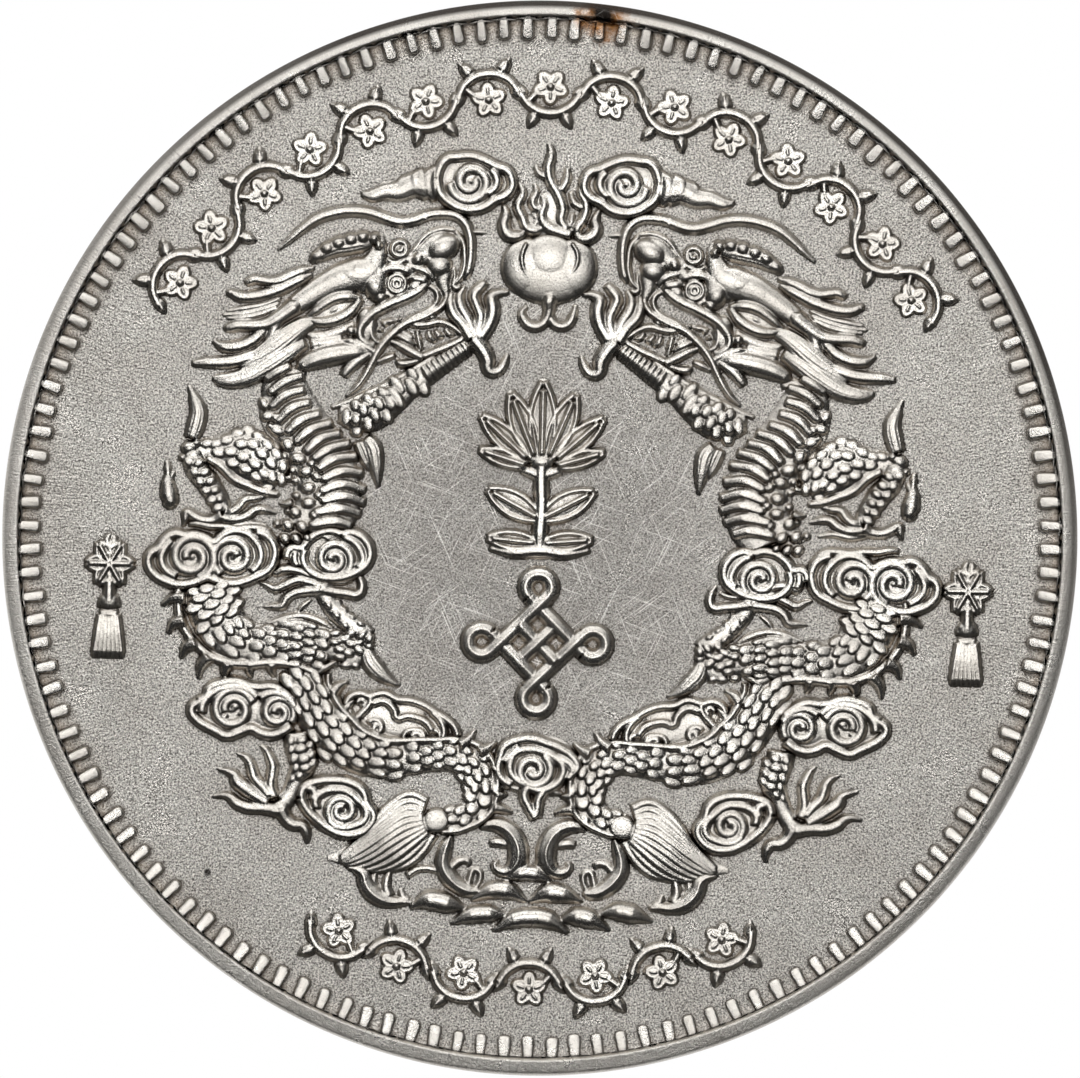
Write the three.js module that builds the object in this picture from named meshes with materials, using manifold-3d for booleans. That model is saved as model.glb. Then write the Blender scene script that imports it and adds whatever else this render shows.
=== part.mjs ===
// A struck silver coin of one tael. The coin lies on its back face, +Z up through the dragon face,
// with the origin at the middle of the surface it lies on. Sizes are in millimetres.
// A real coin is one piece of silver: the blank, called the flan, and the raised work struck on it.
// Here the flan and each raised figure are solids of their own, seated face to face on the fields.
import * as THREE from "three";
import { mergeGeometries, mergeVertices } from "three/addons/utils/BufferGeometryUtils.js";
import Module from "manifold-3d";

const wasm = await Module();
wasm.setup();

// The flan
const DIAMETER = 41;
const THICKNESS = 3.3125;
const EDGE_BEVEL = 0.15;
const RIM_WIDTH = 0.6;
const RIM_DRAFT = 0.06;
const FRONT_RECESS = 0.375;
const BACK_RECESS = 0.25;
const REED_COUNT = 136;
const REED_DEPTH = 0.1;
const REED_WIDTH = 0.42;
const REED_MARGIN = 0.45;

// The toothed border inside the rim, alike on both faces
const TOOTH_COUNT = 136;
const TOOTH_LENGTH = 0.83;
const TOOTH_ROOT_WIDTH = 0.22;
const TOOTH_TIP_WIDTH = 0.36;
const TOOTH_HEIGHT = 0.2;
const BORDER_BAND = 0.12;
const BORDER_CLEARANCE = 0.02;

// The bands of ornament between the border and the dragons
const LEGEND_MARGIN = 0.92;
const LEGEND_BAND = 1.9;
const FLORET_HEIGHT = 0.14;
const STEM_WIDTH = 0.2;
const STEM_HEIGHT = 0.1;
const TOP_FLORETS = 15;
const BOTTOM_FLORETS = 7;

// The furthest claws reach this far into the ring of the band, at an angle where the band is bare
const CLAW_OVERREACH = 0.2107;

// A tassel hangs this far inside the middle line of the band, and this far below the middle of the coin
const TASSEL_INSET = 0.65;
const LEFT_TASSEL_DROP = 2.6;
const RIGHT_TASSEL_DROP = 2.9;

// The ornament of the back face
const ROSETTE_PETALS = 8;
const ROSETTE_RADIUS = 4.9;
const BACK_WREATH_RADIUS = 11;
const WREATH_LINE = 0.5;
const WREATH_SIDES = 40;
const WREATH_BLOSSOMS = 8;
const BLOSSOM_SIZE = 1.7;

// Heights of the dragon work above the field
const PEARL_HEIGHT = 0.32;
const BODY_HEIGHT = 0.28;
const HEAD_HEIGHT = 0.3;
const LIMB_HEIGHT = 0.24;
const CLOUD_HEIGHT = 0.18;
const SCROLL_RISE = 0.06;
const SCROLL_WIDTH = 0.2;
const STRAND_HEIGHT = 0.16;
const WAVE_HEIGHT = 0.2;
const ORNAMENT_HEIGHT = 0.2;

// How the raised figures are shaped in section
const CREST_WIDTH = 0.3;
const FLAT_SHARE = 0.6;
const TIP_SHARE = 0.35;
const MOUND_TOP_SHARE = 0.82;
const SCROLL_STEPS = 7;

// The gap left where one raised figure passes in front of another, and how far a joined figure's
// skin may move when its smallest facets are cleared away
const FIGURE_GAP = 0.04;
const FACET_TOLERANCE = 0.012;

const RADIUS = DIAMETER / 2;
const FRONT_FIELD = THICKNESS - FRONT_RECESS;
const FIELD_RADIUS = RADIUS - RIM_WIDTH - RIM_DRAFT;
const BORDER_OUTER = FIELD_RADIUS - BORDER_CLEARANCE;
const BORDER_INNER = BORDER_OUTER - BORDER_BAND;
const TOOTH_TIP_RADIUS = BORDER_INNER - TOOTH_LENGTH;
const LEGEND_OUTER = TOOTH_TIP_RADIUS - LEGEND_MARGIN;
const LEGEND_RADIUS = LEGEND_OUTER - LEGEND_BAND / 2;
const WREATH_REACH = LEGEND_OUTER - LEGEND_BAND + CLAW_OVERREACH;

const materials = {
  flan: new THREE.MeshStandardMaterial({ color: 0xb3aea6, roughness: 0.42, metalness: 1 }),
  border: new THREE.MeshStandardMaterial({ color: 0xaba69d, roughness: 0.38, metalness: 1 }),
  dragon: new THREE.MeshStandardMaterial({ color: 0xc4bfb5, roughness: 0.32, metalness: 1 }),
  ornament: new THREE.MeshStandardMaterial({ color: 0xbab5ab, roughness: 0.36, metalness: 1 }),
};

// A closed geometry as a solid that can be joined and cut
function toSolid(geometry) {
  const bare = geometry.clone();
  bare.deleteAttribute("normal");
  bare.deleteAttribute("uv");
  const merged = mergeVertices(bare, 1e-4);
  return new wasm.Manifold(
    new wasm.Mesh({
      numProp: 3,
      vertProperties: new Float32Array(merged.attributes.position.array),
      triVerts: new Uint32Array(merged.index.array),
    }),
  );
}

// A solid as a geometry for a mesh
function toGeometry(solid) {
  const mesh = solid.simplify(FACET_TOLERANCE).getMesh();
  const positions = new Float32Array(mesh.numVert * 3);
  for (let i = 0; i < mesh.numVert; i++) {
    positions.set(mesh.vertProperties.subarray(i * mesh.numProp, i * mesh.numProp + 3), i * 3);
  }
  const geometry = new THREE.BufferGeometry();
  geometry.setAttribute("position", new THREE.BufferAttribute(positions, 3));
  geometry.setIndex(new THREE.BufferAttribute(new Uint32Array(mesh.triVerts), 1));
  geometry.computeVertexNormals();
  return geometry;
}

// Closes a skin of equal rings of points, with a fan over the first ring and one over the last
function closedRings(rings) {
  const count = rings[0].length;
  const positions = rings.flat(2);
  const index = [];
  for (let r = 0; r + 1 < rings.length; r++) {
    for (let k = 0; k < count; k++) {
      const a = r * count + k;
      const b = r * count + ((k + 1) % count);
      index.push(a, b, b + count, a, b + count, a + count);
    }
  }
  const last = (rings.length - 1) * count;
  for (let k = 1; k + 1 < count; k++) {
    index.push(0, k + 1, k, last, last + k, last + k + 1);
  }
  const geometry = new THREE.BufferGeometry();
  geometry.setAttribute("position", new THREE.Float32BufferAttribute(positions, 3));
  geometry.setIndex(index);
  return geometry;
}

// A raised ridge along a smooth line. Each point is [x, y, half width]. It sinks where it narrows.
// A thin ridge has a sharp crest and a broad one a flat top.
// With `footprint` it is the tall plain block over the ridge's plan, wider by that much all round.
function ridge(points, height, { steps = points.length - 1, footprint = 0 } = {}) {
  const line = new THREE.CatmullRomCurve3(points.map(([x, y, w]) => new THREE.Vector3(x, y, w)));
  const widest = Math.max(...points.map((p) => p[2]));
  const along = Array.from({ length: steps + 1 }, (_, i) => line.getPoint(i / steps));
  const rings = along.map((here, i) => {
    const before = along[Math.max(i - 1, 0)];
    const after = along[Math.min(i + 1, steps)];
    const way = new THREE.Vector2(after.x - before.x, after.y - before.y).normalize();
    const half = Math.max(here.z, 0.02) + footprint;
    const end = footprint * (i === 0 ? -1 : i === steps ? 1 : 0);
    const at = (side, z) => [
      here.x + end * way.x - side * half * way.y,
      here.y + end * way.y + side * half * way.x,
      z,
    ];
    if (footprint) return [at(1, 0), at(1, THICKNESS), at(-1, THICKNESS), at(-1, 0)];
    const top = height * Math.min(1, TIP_SHARE + ((1 - TIP_SHARE) * half) / widest);
    if (widest < CREST_WIDTH) return [at(1, 0), at(0, top), at(-1, 0)];
    return [at(1, 0), at(FLAT_SHARE, top), at(-FLAT_SHARE, top), at(-1, 0)];
  });
  return toSolid(closedRings(rings));
}

// A low mound with a round or lobed outline, flat-topped unless it is a dome
function mound(x, y, rx, ry, height, options = {}) {
  const { lobes = 0, lobeDepth = 0.14, sides = 12, turn = 0, dome = false, footprint = 0 } = options;
  const ring = (share, z) =>
    Array.from({ length: sides }, (_, k) => {
      const angle = (k / sides) * 2 * Math.PI;
      const swell = lobes && k % (sides / lobes) === 0 ? 1 - lobeDepth : 1;
      const px = (rx * share * swell + footprint) * Math.cos(angle);
      const py = (ry * share * swell + footprint) * Math.sin(angle);
      return [
        x + px * Math.cos(turn) - py * Math.sin(turn),
        y + px * Math.sin(turn) + py * Math.cos(turn),
        z,
      ];
    });
  if (footprint) return toSolid(closedRings([ring(1, 0), ring(1, THICKNESS)]));
  const rings = [ring(1, 0), ring(MOUND_TOP_SHARE, height)];
  if (dome) rings.splice(1, 1, ring(0.88, height * 0.6), ring(0.5, height));
  return toSolid(closedRings(rings));
}

// A scroll that winds outwards, as [x, y, half width] points
function scroll(x, y, inner, outer, turns, start = 0, hand = 1) {
  const count = Math.ceil(turns * SCROLL_STEPS);
  return Array.from({ length: count + 1 }, (_, i) => {
    const share = i / count;
    const angle = start + hand * share * turns * 2 * Math.PI;
    const radius = inner + (outer - inner) * share;
    return [x + radius * Math.cos(angle), y + radius * Math.sin(angle), SCROLL_WIDTH / 2];
  });
}

const joined = (solids) => solids.reduce((whole, next) => whole.add(next));
const mirrored = (points) => points.map(([x, ...rest]) => [-x, ...rest]);

// A figure is drawn as ridges, mounds and scrolls: strokes are [height, points], domes are
// [x, y, rx, ry, height, options] and scrolls are [x, y, inner, outer, turns, start, hand].
// The right dragon is the mirror of the left one, but for the small shift of some of its figures.
function posed(figure, side) {
  const { strokes = [], domes = [], scrolls = [], material, rightShift = [0, 0] } = figure;
  const [dx, dy] = side > 0 ? rightShift : [0, 0];
  const place = (x, y) => [(x + dx) * -side, y + dy];
  return {
    material,
    strokes: strokes.map(([height, points]) => [height, points.map(([x, y, w]) => [...place(x, y), w])]),
    domes: domes.map(([x, y, rx, ry, height, options = {}]) => [
      ...place(x, y),
      rx,
      ry,
      height,
      { ...options, turn: -side * (options.turn ?? 0) },
    ]),
    scrolls: scrolls.map(([x, y, ...rest]) =>
      scroll(0, 0, ...rest).map(([px, py, w]) => [...place(x + px, y + py), w]),
    ),
  };
}

function figureSolid({ strokes, domes, scrolls }) {
  return joined([
    ...strokes.map(([height, points]) => ridge(points, height)),
    ...domes.map((dome) => mound(...dome)),
    ...scrolls.map((points) => ridge(points, CLOUD_HEIGHT + SCROLL_RISE)),
  ]);
}

function figureFootprint({ strokes, domes }) {
  return joined([
    ...strokes.map(([, points]) => ridge(points, 0, { footprint: FIGURE_GAP })),
    ...domes.map(([x, y, rx, ry, height, options]) =>
      mound(x, y, rx, ry, height, { ...options, footprint: FIGURE_GAP }),
    ),
  ]);
}

// The left dragon and the clouds about it, in front-to-back order
const LEFT_FIGURES = {
  whisker: {
    material: "dragon",
    strokes: [
      [
        STRAND_HEIGHT,
        [
          [-10.2, 10.75, 0.04],
          [-9.5, 11.2, 0.1],
          [-8.8, 11.85, 0.13],
          [-7.5, 12.3, 0.15],
          [-6.3, 12, 0.13],
          [-5.4, 11.92, 0.12],
          [-4.5, 12.2, 0.13],
          [-3.5, 12.15, 0.13],
          [-3.02, 11.72, 0.14],
          [-2.9, 10.95, 0.14],
          [-3.02, 10.2, 0.12],
          [-3.35, 9.68, 0.06],
        ],
      ],
    ],
  },
  raised_foreleg: {
    material: "dragon",
    strokes: [
      [
        LIMB_HEIGHT,
        [
          [-7.65, 4.6, 0.3],
          [-7, 4.6, 0.58],
          [-6.3, 4.95, 0.6],
          [-5.5, 5.62, 0.46],
          [-4.7, 6.25, 0.38],
          [-3.9, 6.82, 0.36],
          [-3.1, 7.35, 0.36],
          [-2.6, 7.65, 0.38],
        ],
      ],
      [STRAND_HEIGHT, [[-2.85, 7.65, 0.16], [-3.2, 8.2, 0.13], [-3.62, 8.8, 0.14], [-3.6, 9.3, 0.07]]],
      [STRAND_HEIGHT, [[-2.72, 7.8, 0.16], [-2.95, 8.5, 0.14], [-3.28, 9, 0.14], [-3.1, 9.45, 0.07]]],
      [STRAND_HEIGHT, [[-2.5, 7.85, 0.16], [-2.42, 8.6, 0.14], [-2.68, 9.1, 0.14], [-2.32, 9.62, 0.08]]],
      [STRAND_HEIGHT, [[-2.3, 7.75, 0.16], [-1.95, 8.4, 0.16], [-2.02, 9.1, 0.16], [-1.6, 9.25, 0.07]]],
      [STRAND_HEIGHT, [
        [-2.55, 7.5, 0.24], [-2.25, 6.8, 0.22], [-2.12, 6.2, 0.2], [-1.75, 6.25, 0.14],
        [-1.42, 6.75, 0.06],
      ]],
    ],
  },
  head: {
    material: "dragon",
    strokes: [
      [HEAD_HEIGHT, [
        [-9.3, 9.5, 0.34], [-8.2, 9.75, 0.5], [-7.1, 9.95, 0.72], [-6.3, 9.85, 0.7],
        [-5.6, 9.9, 0.45], [-4.9, 10.25, 0.4], [-4.1, 10.75, 0.55], [-3.75, 10.85, 0.4],
      ]],
      [HEAD_HEIGHT, [[-4.6, 10.3, 0.35], [-4.15, 10, 0.4], [-3.8, 9.6, 0.26], [-3.72, 9.15, 0.08]]],
      [STRAND_HEIGHT, [
        [-8.85, 10.35, 0.12], [-8.1, 10.7, 0.22], [-7.2, 10.95, 0.24], [-6.4, 11.1, 0.2],
        [-6.15, 11.4, 0.06],
      ]],
      [LIMB_HEIGHT, [
        [-4.3, 9.45, 0.12], [-4.9, 9.25, 0.18], [-5.7, 8.95, 0.18], [-6.4, 8.5, 0.16],
        [-6.85, 8.05, 0.14],
      ]],
      [CLOUD_HEIGHT, [[-6.6, 9.1, 0.35], [-7.6, 8.6, 0.55], [-7.3, 7.9, 0.5], [-6.6, 7.5, 0.42]]],
      [LIMB_HEIGHT, [
        [-9.35, 6.2, 0.08], [-8.8, 6.62, 0.3], [-8, 6.8, 0.4], [-7.2, 6.95, 0.32],
        [-6.5, 7.2, 0.2], [-5.6, 7, 0.16], [-4.7, 6.85, 0.16],
      ]],
      [CLOUD_HEIGHT, [[-6.4, 8, 0.22], [-5.4, 7.75, 0.4], [-4.5, 7.6, 0.4], [-3.75, 7.75, 0.25]]],
      [STRAND_HEIGHT, [[-6.75, 7, 0.16], [-6.75, 6.5, 0.12], [-7.1, 6, 0.1], [-7.5, 5.6, 0.04]]],
    ],
    domes: [
      [-8.05, 8.55, 0.95, 0.5, CLOUD_HEIGHT, { turn: 0.45, sides: 12 }],
      [-5.6, 10.88, 0.3, 0.28, STRAND_HEIGHT, { sides: 10 }],
    ],
  },
  mane: {
    material: "dragon",
    strokes: [
      [STRAND_HEIGHT, [[-9.1, 9.75, 0.3], [-10.2, 9.6, 0.24], [-10.95, 9.65, 0.16], [-11.4, 9.5, 0.05]]],
      [STRAND_HEIGHT, [[-9.2, 9.4, 0.3], [-10.3, 9.25, 0.26], [-11.3, 8.95, 0.24], [-12.1, 9.12, 0.05]]],
      [STRAND_HEIGHT, [[-9.4, 8.9, 0.4], [-10.6, 8.6, 0.24], [-11.6, 8.35, 0.14], [-12.3, 8.3, 0.05]]],
      [LIMB_HEIGHT, [[-9.2, 9.2, 0.3], [-9.9, 8.4, 0.3], [-10.25, 7.8, 0.26], [-10.42, 7.15, 0.08]]],
      [STRAND_HEIGHT, [[-9.8, 8.4, 0.3], [-10.8, 7.95, 0.26], [-11.7, 7.82, 0.2], [-12.2, 7.72, 0.08]]],
      [STRAND_HEIGHT, [[-9.8, 8, 0.4], [-10.8, 7.5, 0.3], [-11.7, 6.98, 0.26], [-12.7, 7.2, 0.05]]],
      [STRAND_HEIGHT, [
        [-9, 7.8, 0.5], [-10.2, 7.3, 0.5], [-11.6, 6.75, 0.3], [-12.7, 6.5, 0.22],
        [-13.5, 6.35, 0.05],
      ]],
      [STRAND_HEIGHT, [[-9, 7.2, 0.5], [-10.2, 6.7, 0.5], [-11.4, 6.15, 0.34], [-12.6, 5.88, 0.08]]],
    ],
  },
  side_cloud: {
    rightShift: [-0.3, -0.4],
    material: "ornament",
    domes: [
      [-13.2, -1.05, 1.65, 1.02, CLOUD_HEIGHT, { lobes: 7, sides: 14 }],
      [-11.45, -0.95, 1.35, 1, CLOUD_HEIGHT, { lobes: 7, sides: 14 }],
    ],
    scrolls: [
      [-13.2, -1.05, 0.15, 0.8, 1.35, 0.4, 1],
      [-11.5, -0.92, 0.15, 0.72, 1.35, 2.4, -1],
    ],
  },
  bent_foreleg: {
    rightShift: [-0.2, 0.1],
    material: "dragon",
    strokes: [
      [LIMB_HEIGHT, [
        [-10.05, 2.35, 0.5], [-10.9, 2.85, 0.82], [-11.8, 3.15, 0.7], [-12.6, 3.2, 0.48],
        [-13.2, 3.1, 0.4],
      ]],
      [LIMB_HEIGHT, [[-13.3, 3, 0.38], [-12.95, 2.2, 0.44], [-12.5, 1.4, 0.38], [-12.1, 0.75, 0.3]]],
      [STRAND_HEIGHT, [[-13.3, 3.2, 0.32], [-13.28, 4.1, 0.36], [-13.15, 4.75, 0.3], [-13.4, 5.4, 0.04]]],
      [STRAND_HEIGHT, [[-11.9, 0.65, 0.16], [-12.7, 0.38, 0.16], [-13.3, 0.5, 0.1]]],
      [STRAND_HEIGHT, [[-12.1, 0.75, 0.2], [-11.4, 0.8, 0.14], [-11.05, 1.2, 0.12], [-10.6, 1.3, 0.04]]],
      [STRAND_HEIGHT, [[-12.1, 0.6, 0.2], [-11.3, 0.5, 0.16], [-10.75, 0.82, 0.14], [-10.2, 0.75, 0.04]]],
    ],
  },
  chest_cloud: {
    rightShift: [-0.6, -0.4],
    material: "ornament",
    domes: [[-7.9, -0.85, 1.5, 0.95, CLOUD_HEIGHT, { lobes: 7, sides: 14 }]],
    scrolls: [[-8, -0.95, 0.15, 0.72, 1.35, 0, 1]],
  },
  neck: {
    rightShift: [-0.15, 0],
    material: "dragon",
    strokes: [
      [BODY_HEIGHT, [
        [-9.9, 6, 0.7], [-9.85, 5.2, 0.95], [-9.55, 4.5, 1.05], [-8.95, 3.7, 1.12],
        [-8.4, 2.8, 1.2], [-8.1, 1.9, 1.28], [-8.2, 1, 1.28], [-8.6, 0.1, 1.15],
      ]],
    ],
  },
  elbow_tuft: {
    rightShift: [0.2, 0],
    material: "dragon",
    strokes: [
      [STRAND_HEIGHT, [[-6.55, 3.6, 0.4], [-6.42, 2.9, 0.3], [-6.3, 2.3, 0.18], [-6.25, 1.8, 0.04]]],
    ],
  },
  inner_hindleg: {
    rightShift: [0.2, -0.2],
    material: "dragon",
    strokes: [
      [LIMB_HEIGHT, [
        [-9.6, -4, 0.5], [-8.8, -4.05, 0.82], [-7.9, -4.15, 0.72], [-7, -4.1, 0.62],
        [-6.5, -4.1, 0.35],
      ]],
      [LIMB_HEIGHT, [[-6.7, -4, 0.38], [-7.3, -3.4, 0.38], [-7.9, -2.75, 0.32], [-8.3, -2.3, 0.28]]],
      [STRAND_HEIGHT, [[-8.3, -2.2, 0.24], [-7.5, -2.1, 0.16], [-6.95, -2.15, 0.2], [-6.88, -1.65, 0.1]]],
      [STRAND_HEIGHT, [[-8.3, -2.2, 0.2], [-9.2, -2.35, 0.16], [-9.75, -2.8, 0.14], [-10.3, -2.92, 0.04]]],
      [STRAND_HEIGHT, [[-8.4, -2.15, 0.2], [-9.3, -1.95, 0.16], [-10, -2.1, 0.14], [-10.6, -1.98, 0.04]]],
      [STRAND_HEIGHT, [[-6.55, -4.4, 0.35], [-6.2, -4.95, 0.3], [-5.8, -5.4, 0.2], [-5.25, -5.7, 0.04]]],
    ],
  },
  body_coil: {
    rightShift: [-0.3, -0.15],
    material: "dragon",
    strokes: [
      [BODY_HEIGHT, [
        [-12.4, -2.1, 1.05], [-12.4, -3, 1.1], [-11.9, -3.9, 0.9], [-10.9, -4.25, 0.75],
        [-9.9, -4.3, 0.68], [-8.6, -4.6, 0.4], [-7.8, -4.8, 0.2],
      ]],
      [STRAND_HEIGHT, [[-13.3, -2.5, 0.2], [-13.9, -2.55, 0.16], [-14.35, -2.9, 0.05]]],
      [STRAND_HEIGHT, [[-13.3, -3.3, 0.2], [-13.75, -3.5, 0.18], [-14.1, -3.9, 0.06]]],
      [STRAND_HEIGHT, [[-12.9, -4.1, 0.2], [-13.25, -4.45, 0.18], [-13.5, -4.9, 0.06]]],
      [STRAND_HEIGHT, [[-12.4, -4.5, 0.2], [-12.7, -5.1, 0.16], [-12.85, -5.6, 0.05]]],
      [STRAND_HEIGHT, [[-11.7, -4.7, 0.2], [-11.85, -5.25, 0.14], [-11.8, -5.7, 0.05]]],
    ],
  },
  flank_cloud: {
    rightShift: [-0.25, -0.15],
    material: "ornament",
    domes: [
      [-11.6, -6.75, 1.45, 1.05, CLOUD_HEIGHT, { lobes: 7, sides: 14 }],
      [-9.95, -6.85, 1, 0.9, CLOUD_HEIGHT, { lobes: 5, sides: 10 }],
    ],
    scrolls: [
      [-11.5, -6.8, 0.12, 0.75, 1.35, 0.8, 1],
      [-9.8, -6.85, 0.12, 0.58, 1.35, 2.6, -1],
    ],
  },
  outer_hindleg: {
    rightShift: [-0.3, -0.3],
    material: "dragon",
    strokes: [
      [LIMB_HEIGHT, [
        [-8.9, -7.85, 0.42], [-8.85, -8.5, 0.42], [-9.1, -9.1, 0.36], [-9.45, -9.75, 0.36],
        [-9.75, -10.3, 0.36],
      ]],
      [STRAND_HEIGHT, [[-9.85, -10.1, 0.18], [-10, -9.2, 0.15], [-9.95, -8.6, 0.14], [-10.4, -8.12, 0.04]]],
      [STRAND_HEIGHT, [
        [-9.95, -10.15, 0.18], [-10.55, -9.3, 0.16], [-10.8, -8.75, 0.15], [-11.4, -8.42, 0.04],
      ]],
      [STRAND_HEIGHT, [[-10, -10.3, 0.2], [-10.9, -9.75, 0.2], [-11.4, -9.25, 0.15], [-12.1, -9.05, 0.04]]],
      [STRAND_HEIGHT, [
        [-9.9, -10.45, 0.2], [-10.9, -10.4, 0.16], [-11.5, -10.1, 0.15], [-12.2, -10.1, 0.04],
      ]],
      [STRAND_HEIGHT, [
        [-9.7, -10.4, 0.24], [-9.15, -10.95, 0.18], [-8.8, -11.3, 0.16], [-8.65, -11.8, 0.04],
      ]],
    ],
  },
  lower_body: {
    material: "dragon",
    strokes: [
      [BODY_HEIGHT, [
        [-9.4, -5.55, 0.42], [-8.75, -6.2, 0.85], [-8.2, -7, 1], [-7.4, -7.75, 0.98],
        [-6.4, -8.25, 0.86], [-5.2, -8.42, 0.74], [-4, -8.38, 0.64], [-3, -8.5, 0.6],
        [-2.2, -8.9, 0.56], [-1.9, -9.55, 0.54], [-2.15, -10.2, 0.46], [-2.8, -10.62, 0.44],
        [-3.5, -10.8, 0.5], [-4, -10.85, 0.5],
      ]],
      [STRAND_HEIGHT, [[-7.7, -6.4, 0.2], [-7.5, -6, 0.14], [-7.2, -5.65, 0.05]]],
      [STRAND_HEIGHT, [[-2.7, -8, 0.2], [-2.5, -7.65, 0.12], [-2.3, -7.35, 0.04]]],
      [STRAND_HEIGHT, [[-1.9, -8.5, 0.2], [-1.75, -8.1, 0.12], [-1.55, -7.8, 0.04]]],
    ],
  },
  tail_fan: {
    rightShift: [0.3, -0.1],
    material: "dragon",
    strokes: [
      [LIMB_HEIGHT, [
        [-4.4, -10.95, 0.6], [-5.2, -11.35, 0.95], [-6, -11.85, 0.8], [-6.8, -12.25, 0.45],
        [-7.8, -12.5, 0.06],
      ]],
      [STRAND_HEIGHT, [[-4.5, -11.6, 0.4], [-5.4, -12.25, 0.4], [-6.4, -12.6, 0.2], [-7.1, -12.78, 0.04]]],
    ],
  },
  tail_cloud: {
    rightShift: [-0.2, -0.25],
    material: "ornament",
    domes: [[-7.5, -10.45, 1.35, 0.95, CLOUD_HEIGHT, { lobes: 7, sides: 14, turn: -0.3 }]],
    scrolls: [[-7.35, -10.6, 0.12, 0.66, 1.35, 0.5, 1]],
  },
  hip_cloud: {
    material: "ornament",
    strokes: [
      [CLOUD_HEIGHT, [
        [-7, -6.7, 0.4], [-6.2, -6.75, 0.62], [-5.3, -7.05, 0.6], [-4.4, -7.2, 0.6],
        [-3.6, -7.5, 0.35], [-3.2, -7.6, 0.12],
      ]],
    ],
  },
  drop: {
    rightShift: [0.05, 0.2],
    material: "ornament",
    strokes: [
      [STRAND_HEIGHT, [
        [-14.25, 2.5, 0.08], [-14.22, 2.1, 0.12], [-14.2, 1.6, 0.24],
        [-14.15, 1.15, 0.24], [-14.1, 0.85, 0.12],
      ]],
    ],
  },
  top_cloud: {
    material: "ornament",
    strokes: [
      [CLOUD_HEIGHT, [
        [-4.1, 13.5, 0.7], [-4.9, 13.4, 0.55], [-5.8, 13.2, 0.4], [-6.5, 12.98, 0.24], [-7.1, 12.95, 0.05],
      ]],
    ],
    domes: [[-3, 13.55, 1.35, 0.95, CLOUD_HEIGHT, { lobes: 7, sides: 14 }]],
    scrolls: [[-3.05, 13.55, 0.12, 0.68, 1.35, 2.2, -1]],
  },
};

// What stands on the axis between the two dragons
const PEARL = {
  material: "dragon",
  domes: [[0, 10.4, 1.7, 1.62, PEARL_HEIGHT, { sides: 20, dome: true }]],
  strokes: [
    [STRAND_HEIGHT, [
      [0, 9.2, 0.3], [-0.1, 8.6, 0.16], [-0.5, 8.15, 0.13], [-0.9, 8.1, 0.12],
      [-1.02, 8.5, 0.06],
    ]],
    [STRAND_HEIGHT, [
      [0, 9.2, 0.3], [0.15, 8.5, 0.16], [0.5, 8.12, 0.13], [0.88, 8.15, 0.12], [1, 8.6, 0.06],
    ]],
  ],
};

const FLAMES = {
  material: "dragon",
  strokes: [
    [STRAND_HEIGHT, [
      [-1.5, 11.7, 0.12], [-0.8, 12.05, 0.2], [0, 12.2, 0.24], [0.8, 12.05, 0.2],
      [1.55, 11.75, 0.12],
    ]],
    [STRAND_HEIGHT, [
      [0, 12.1, 0.25], [-0.3, 12.9, 0.18], [0.05, 13.6, 0.16], [-0.12, 14.3, 0.12],
      [0, 15, 0.04],
    ]],
    [STRAND_HEIGHT, [[-0.6, 12, 0.2], [-0.85, 12.6, 0.14], [-0.62, 13.2, 0.12], [-0.85, 13.8, 0.04]]],
    [STRAND_HEIGHT, [[0.5, 12.1, 0.2], [0.42, 12.8, 0.14], [0.75, 13.4, 0.12], [0.62, 14.2, 0.04]]],
    [STRAND_HEIGHT, [[-1.3, 11.8, 0.14], [-1.62, 12.2, 0.13], [-1.5, 12.8, 0.04]]],
    [STRAND_HEIGHT, [[1.2, 11.9, 0.16], [1.25, 12.5, 0.13], [1.2, 13.4, 0.04]]],
    [STRAND_HEIGHT, [[1.4, 11.8, 0.14], [1.8, 12.1, 0.14], [1.85, 12.7, 0.04]]],
  ],
};

const CENTRE_CLOUD = {
  material: "ornament",
  domes: [[0, -8.7, 1.12, 1.08, CLOUD_HEIGHT, { lobes: 7, sides: 14 }]],
  strokes: [[STRAND_HEIGHT, [[0, -9.5, 0.2], [-0.1, -10.1, 0.18], [0.05, -10.65, 0.05]]]],
  scrolls: [[0, -8.7, 0.12, 0.66, 1.35, 0.4, 1]],
};

const WAVE_HALF = [
  [WAVE_HEIGHT, [
    [-6.75, -12.95, 0.1], [-6.35, -13.5, 0.2], [-5.6, -13.9, 0.22], [-4.9, -13.95, 0.18],
    [-4.4, -14, 0.14],
  ]],
  [WAVE_HEIGHT, [
    [-4.8, -14.05, 0.06], [-4.2, -13.95, 0.28], [-3.5, -13.9, 0.34], [-2.9, -14.02, 0.24],
    [-2.3, -14.15, 0.1],
  ]],
  [WAVE_HEIGHT, [[-3.1, -14.7, 0.04], [-2.5, -14.5, 0.22], [-1.9, -14.35, 0.26], [-1, -14.45, 0.1]]],
  [WAVE_HEIGHT, [[-2.9, -13.6, 0.06], [-2, -13.7, 0.24], [-1.3, -13.6, 0.28], [-0.2, -13.75, 0.12]]],
  [WAVE_HEIGHT, [
    [-3.55, -11.55, 0.12], [-3.75, -12.2, 0.16], [-3.4, -12.9, 0.18], [-2.8, -13.4, 0.18],
    [-2.2, -13.65, 0.16],
  ]],
  [WAVE_HEIGHT, [
    [-1.9, -11.02, 0.1], [-1.25, -11.1, 0.18], [-0.75, -11.7, 0.24], [-0.85, -12.5, 0.24],
    [-0.9, -13.1, 0.24],
  ]],
];

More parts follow.
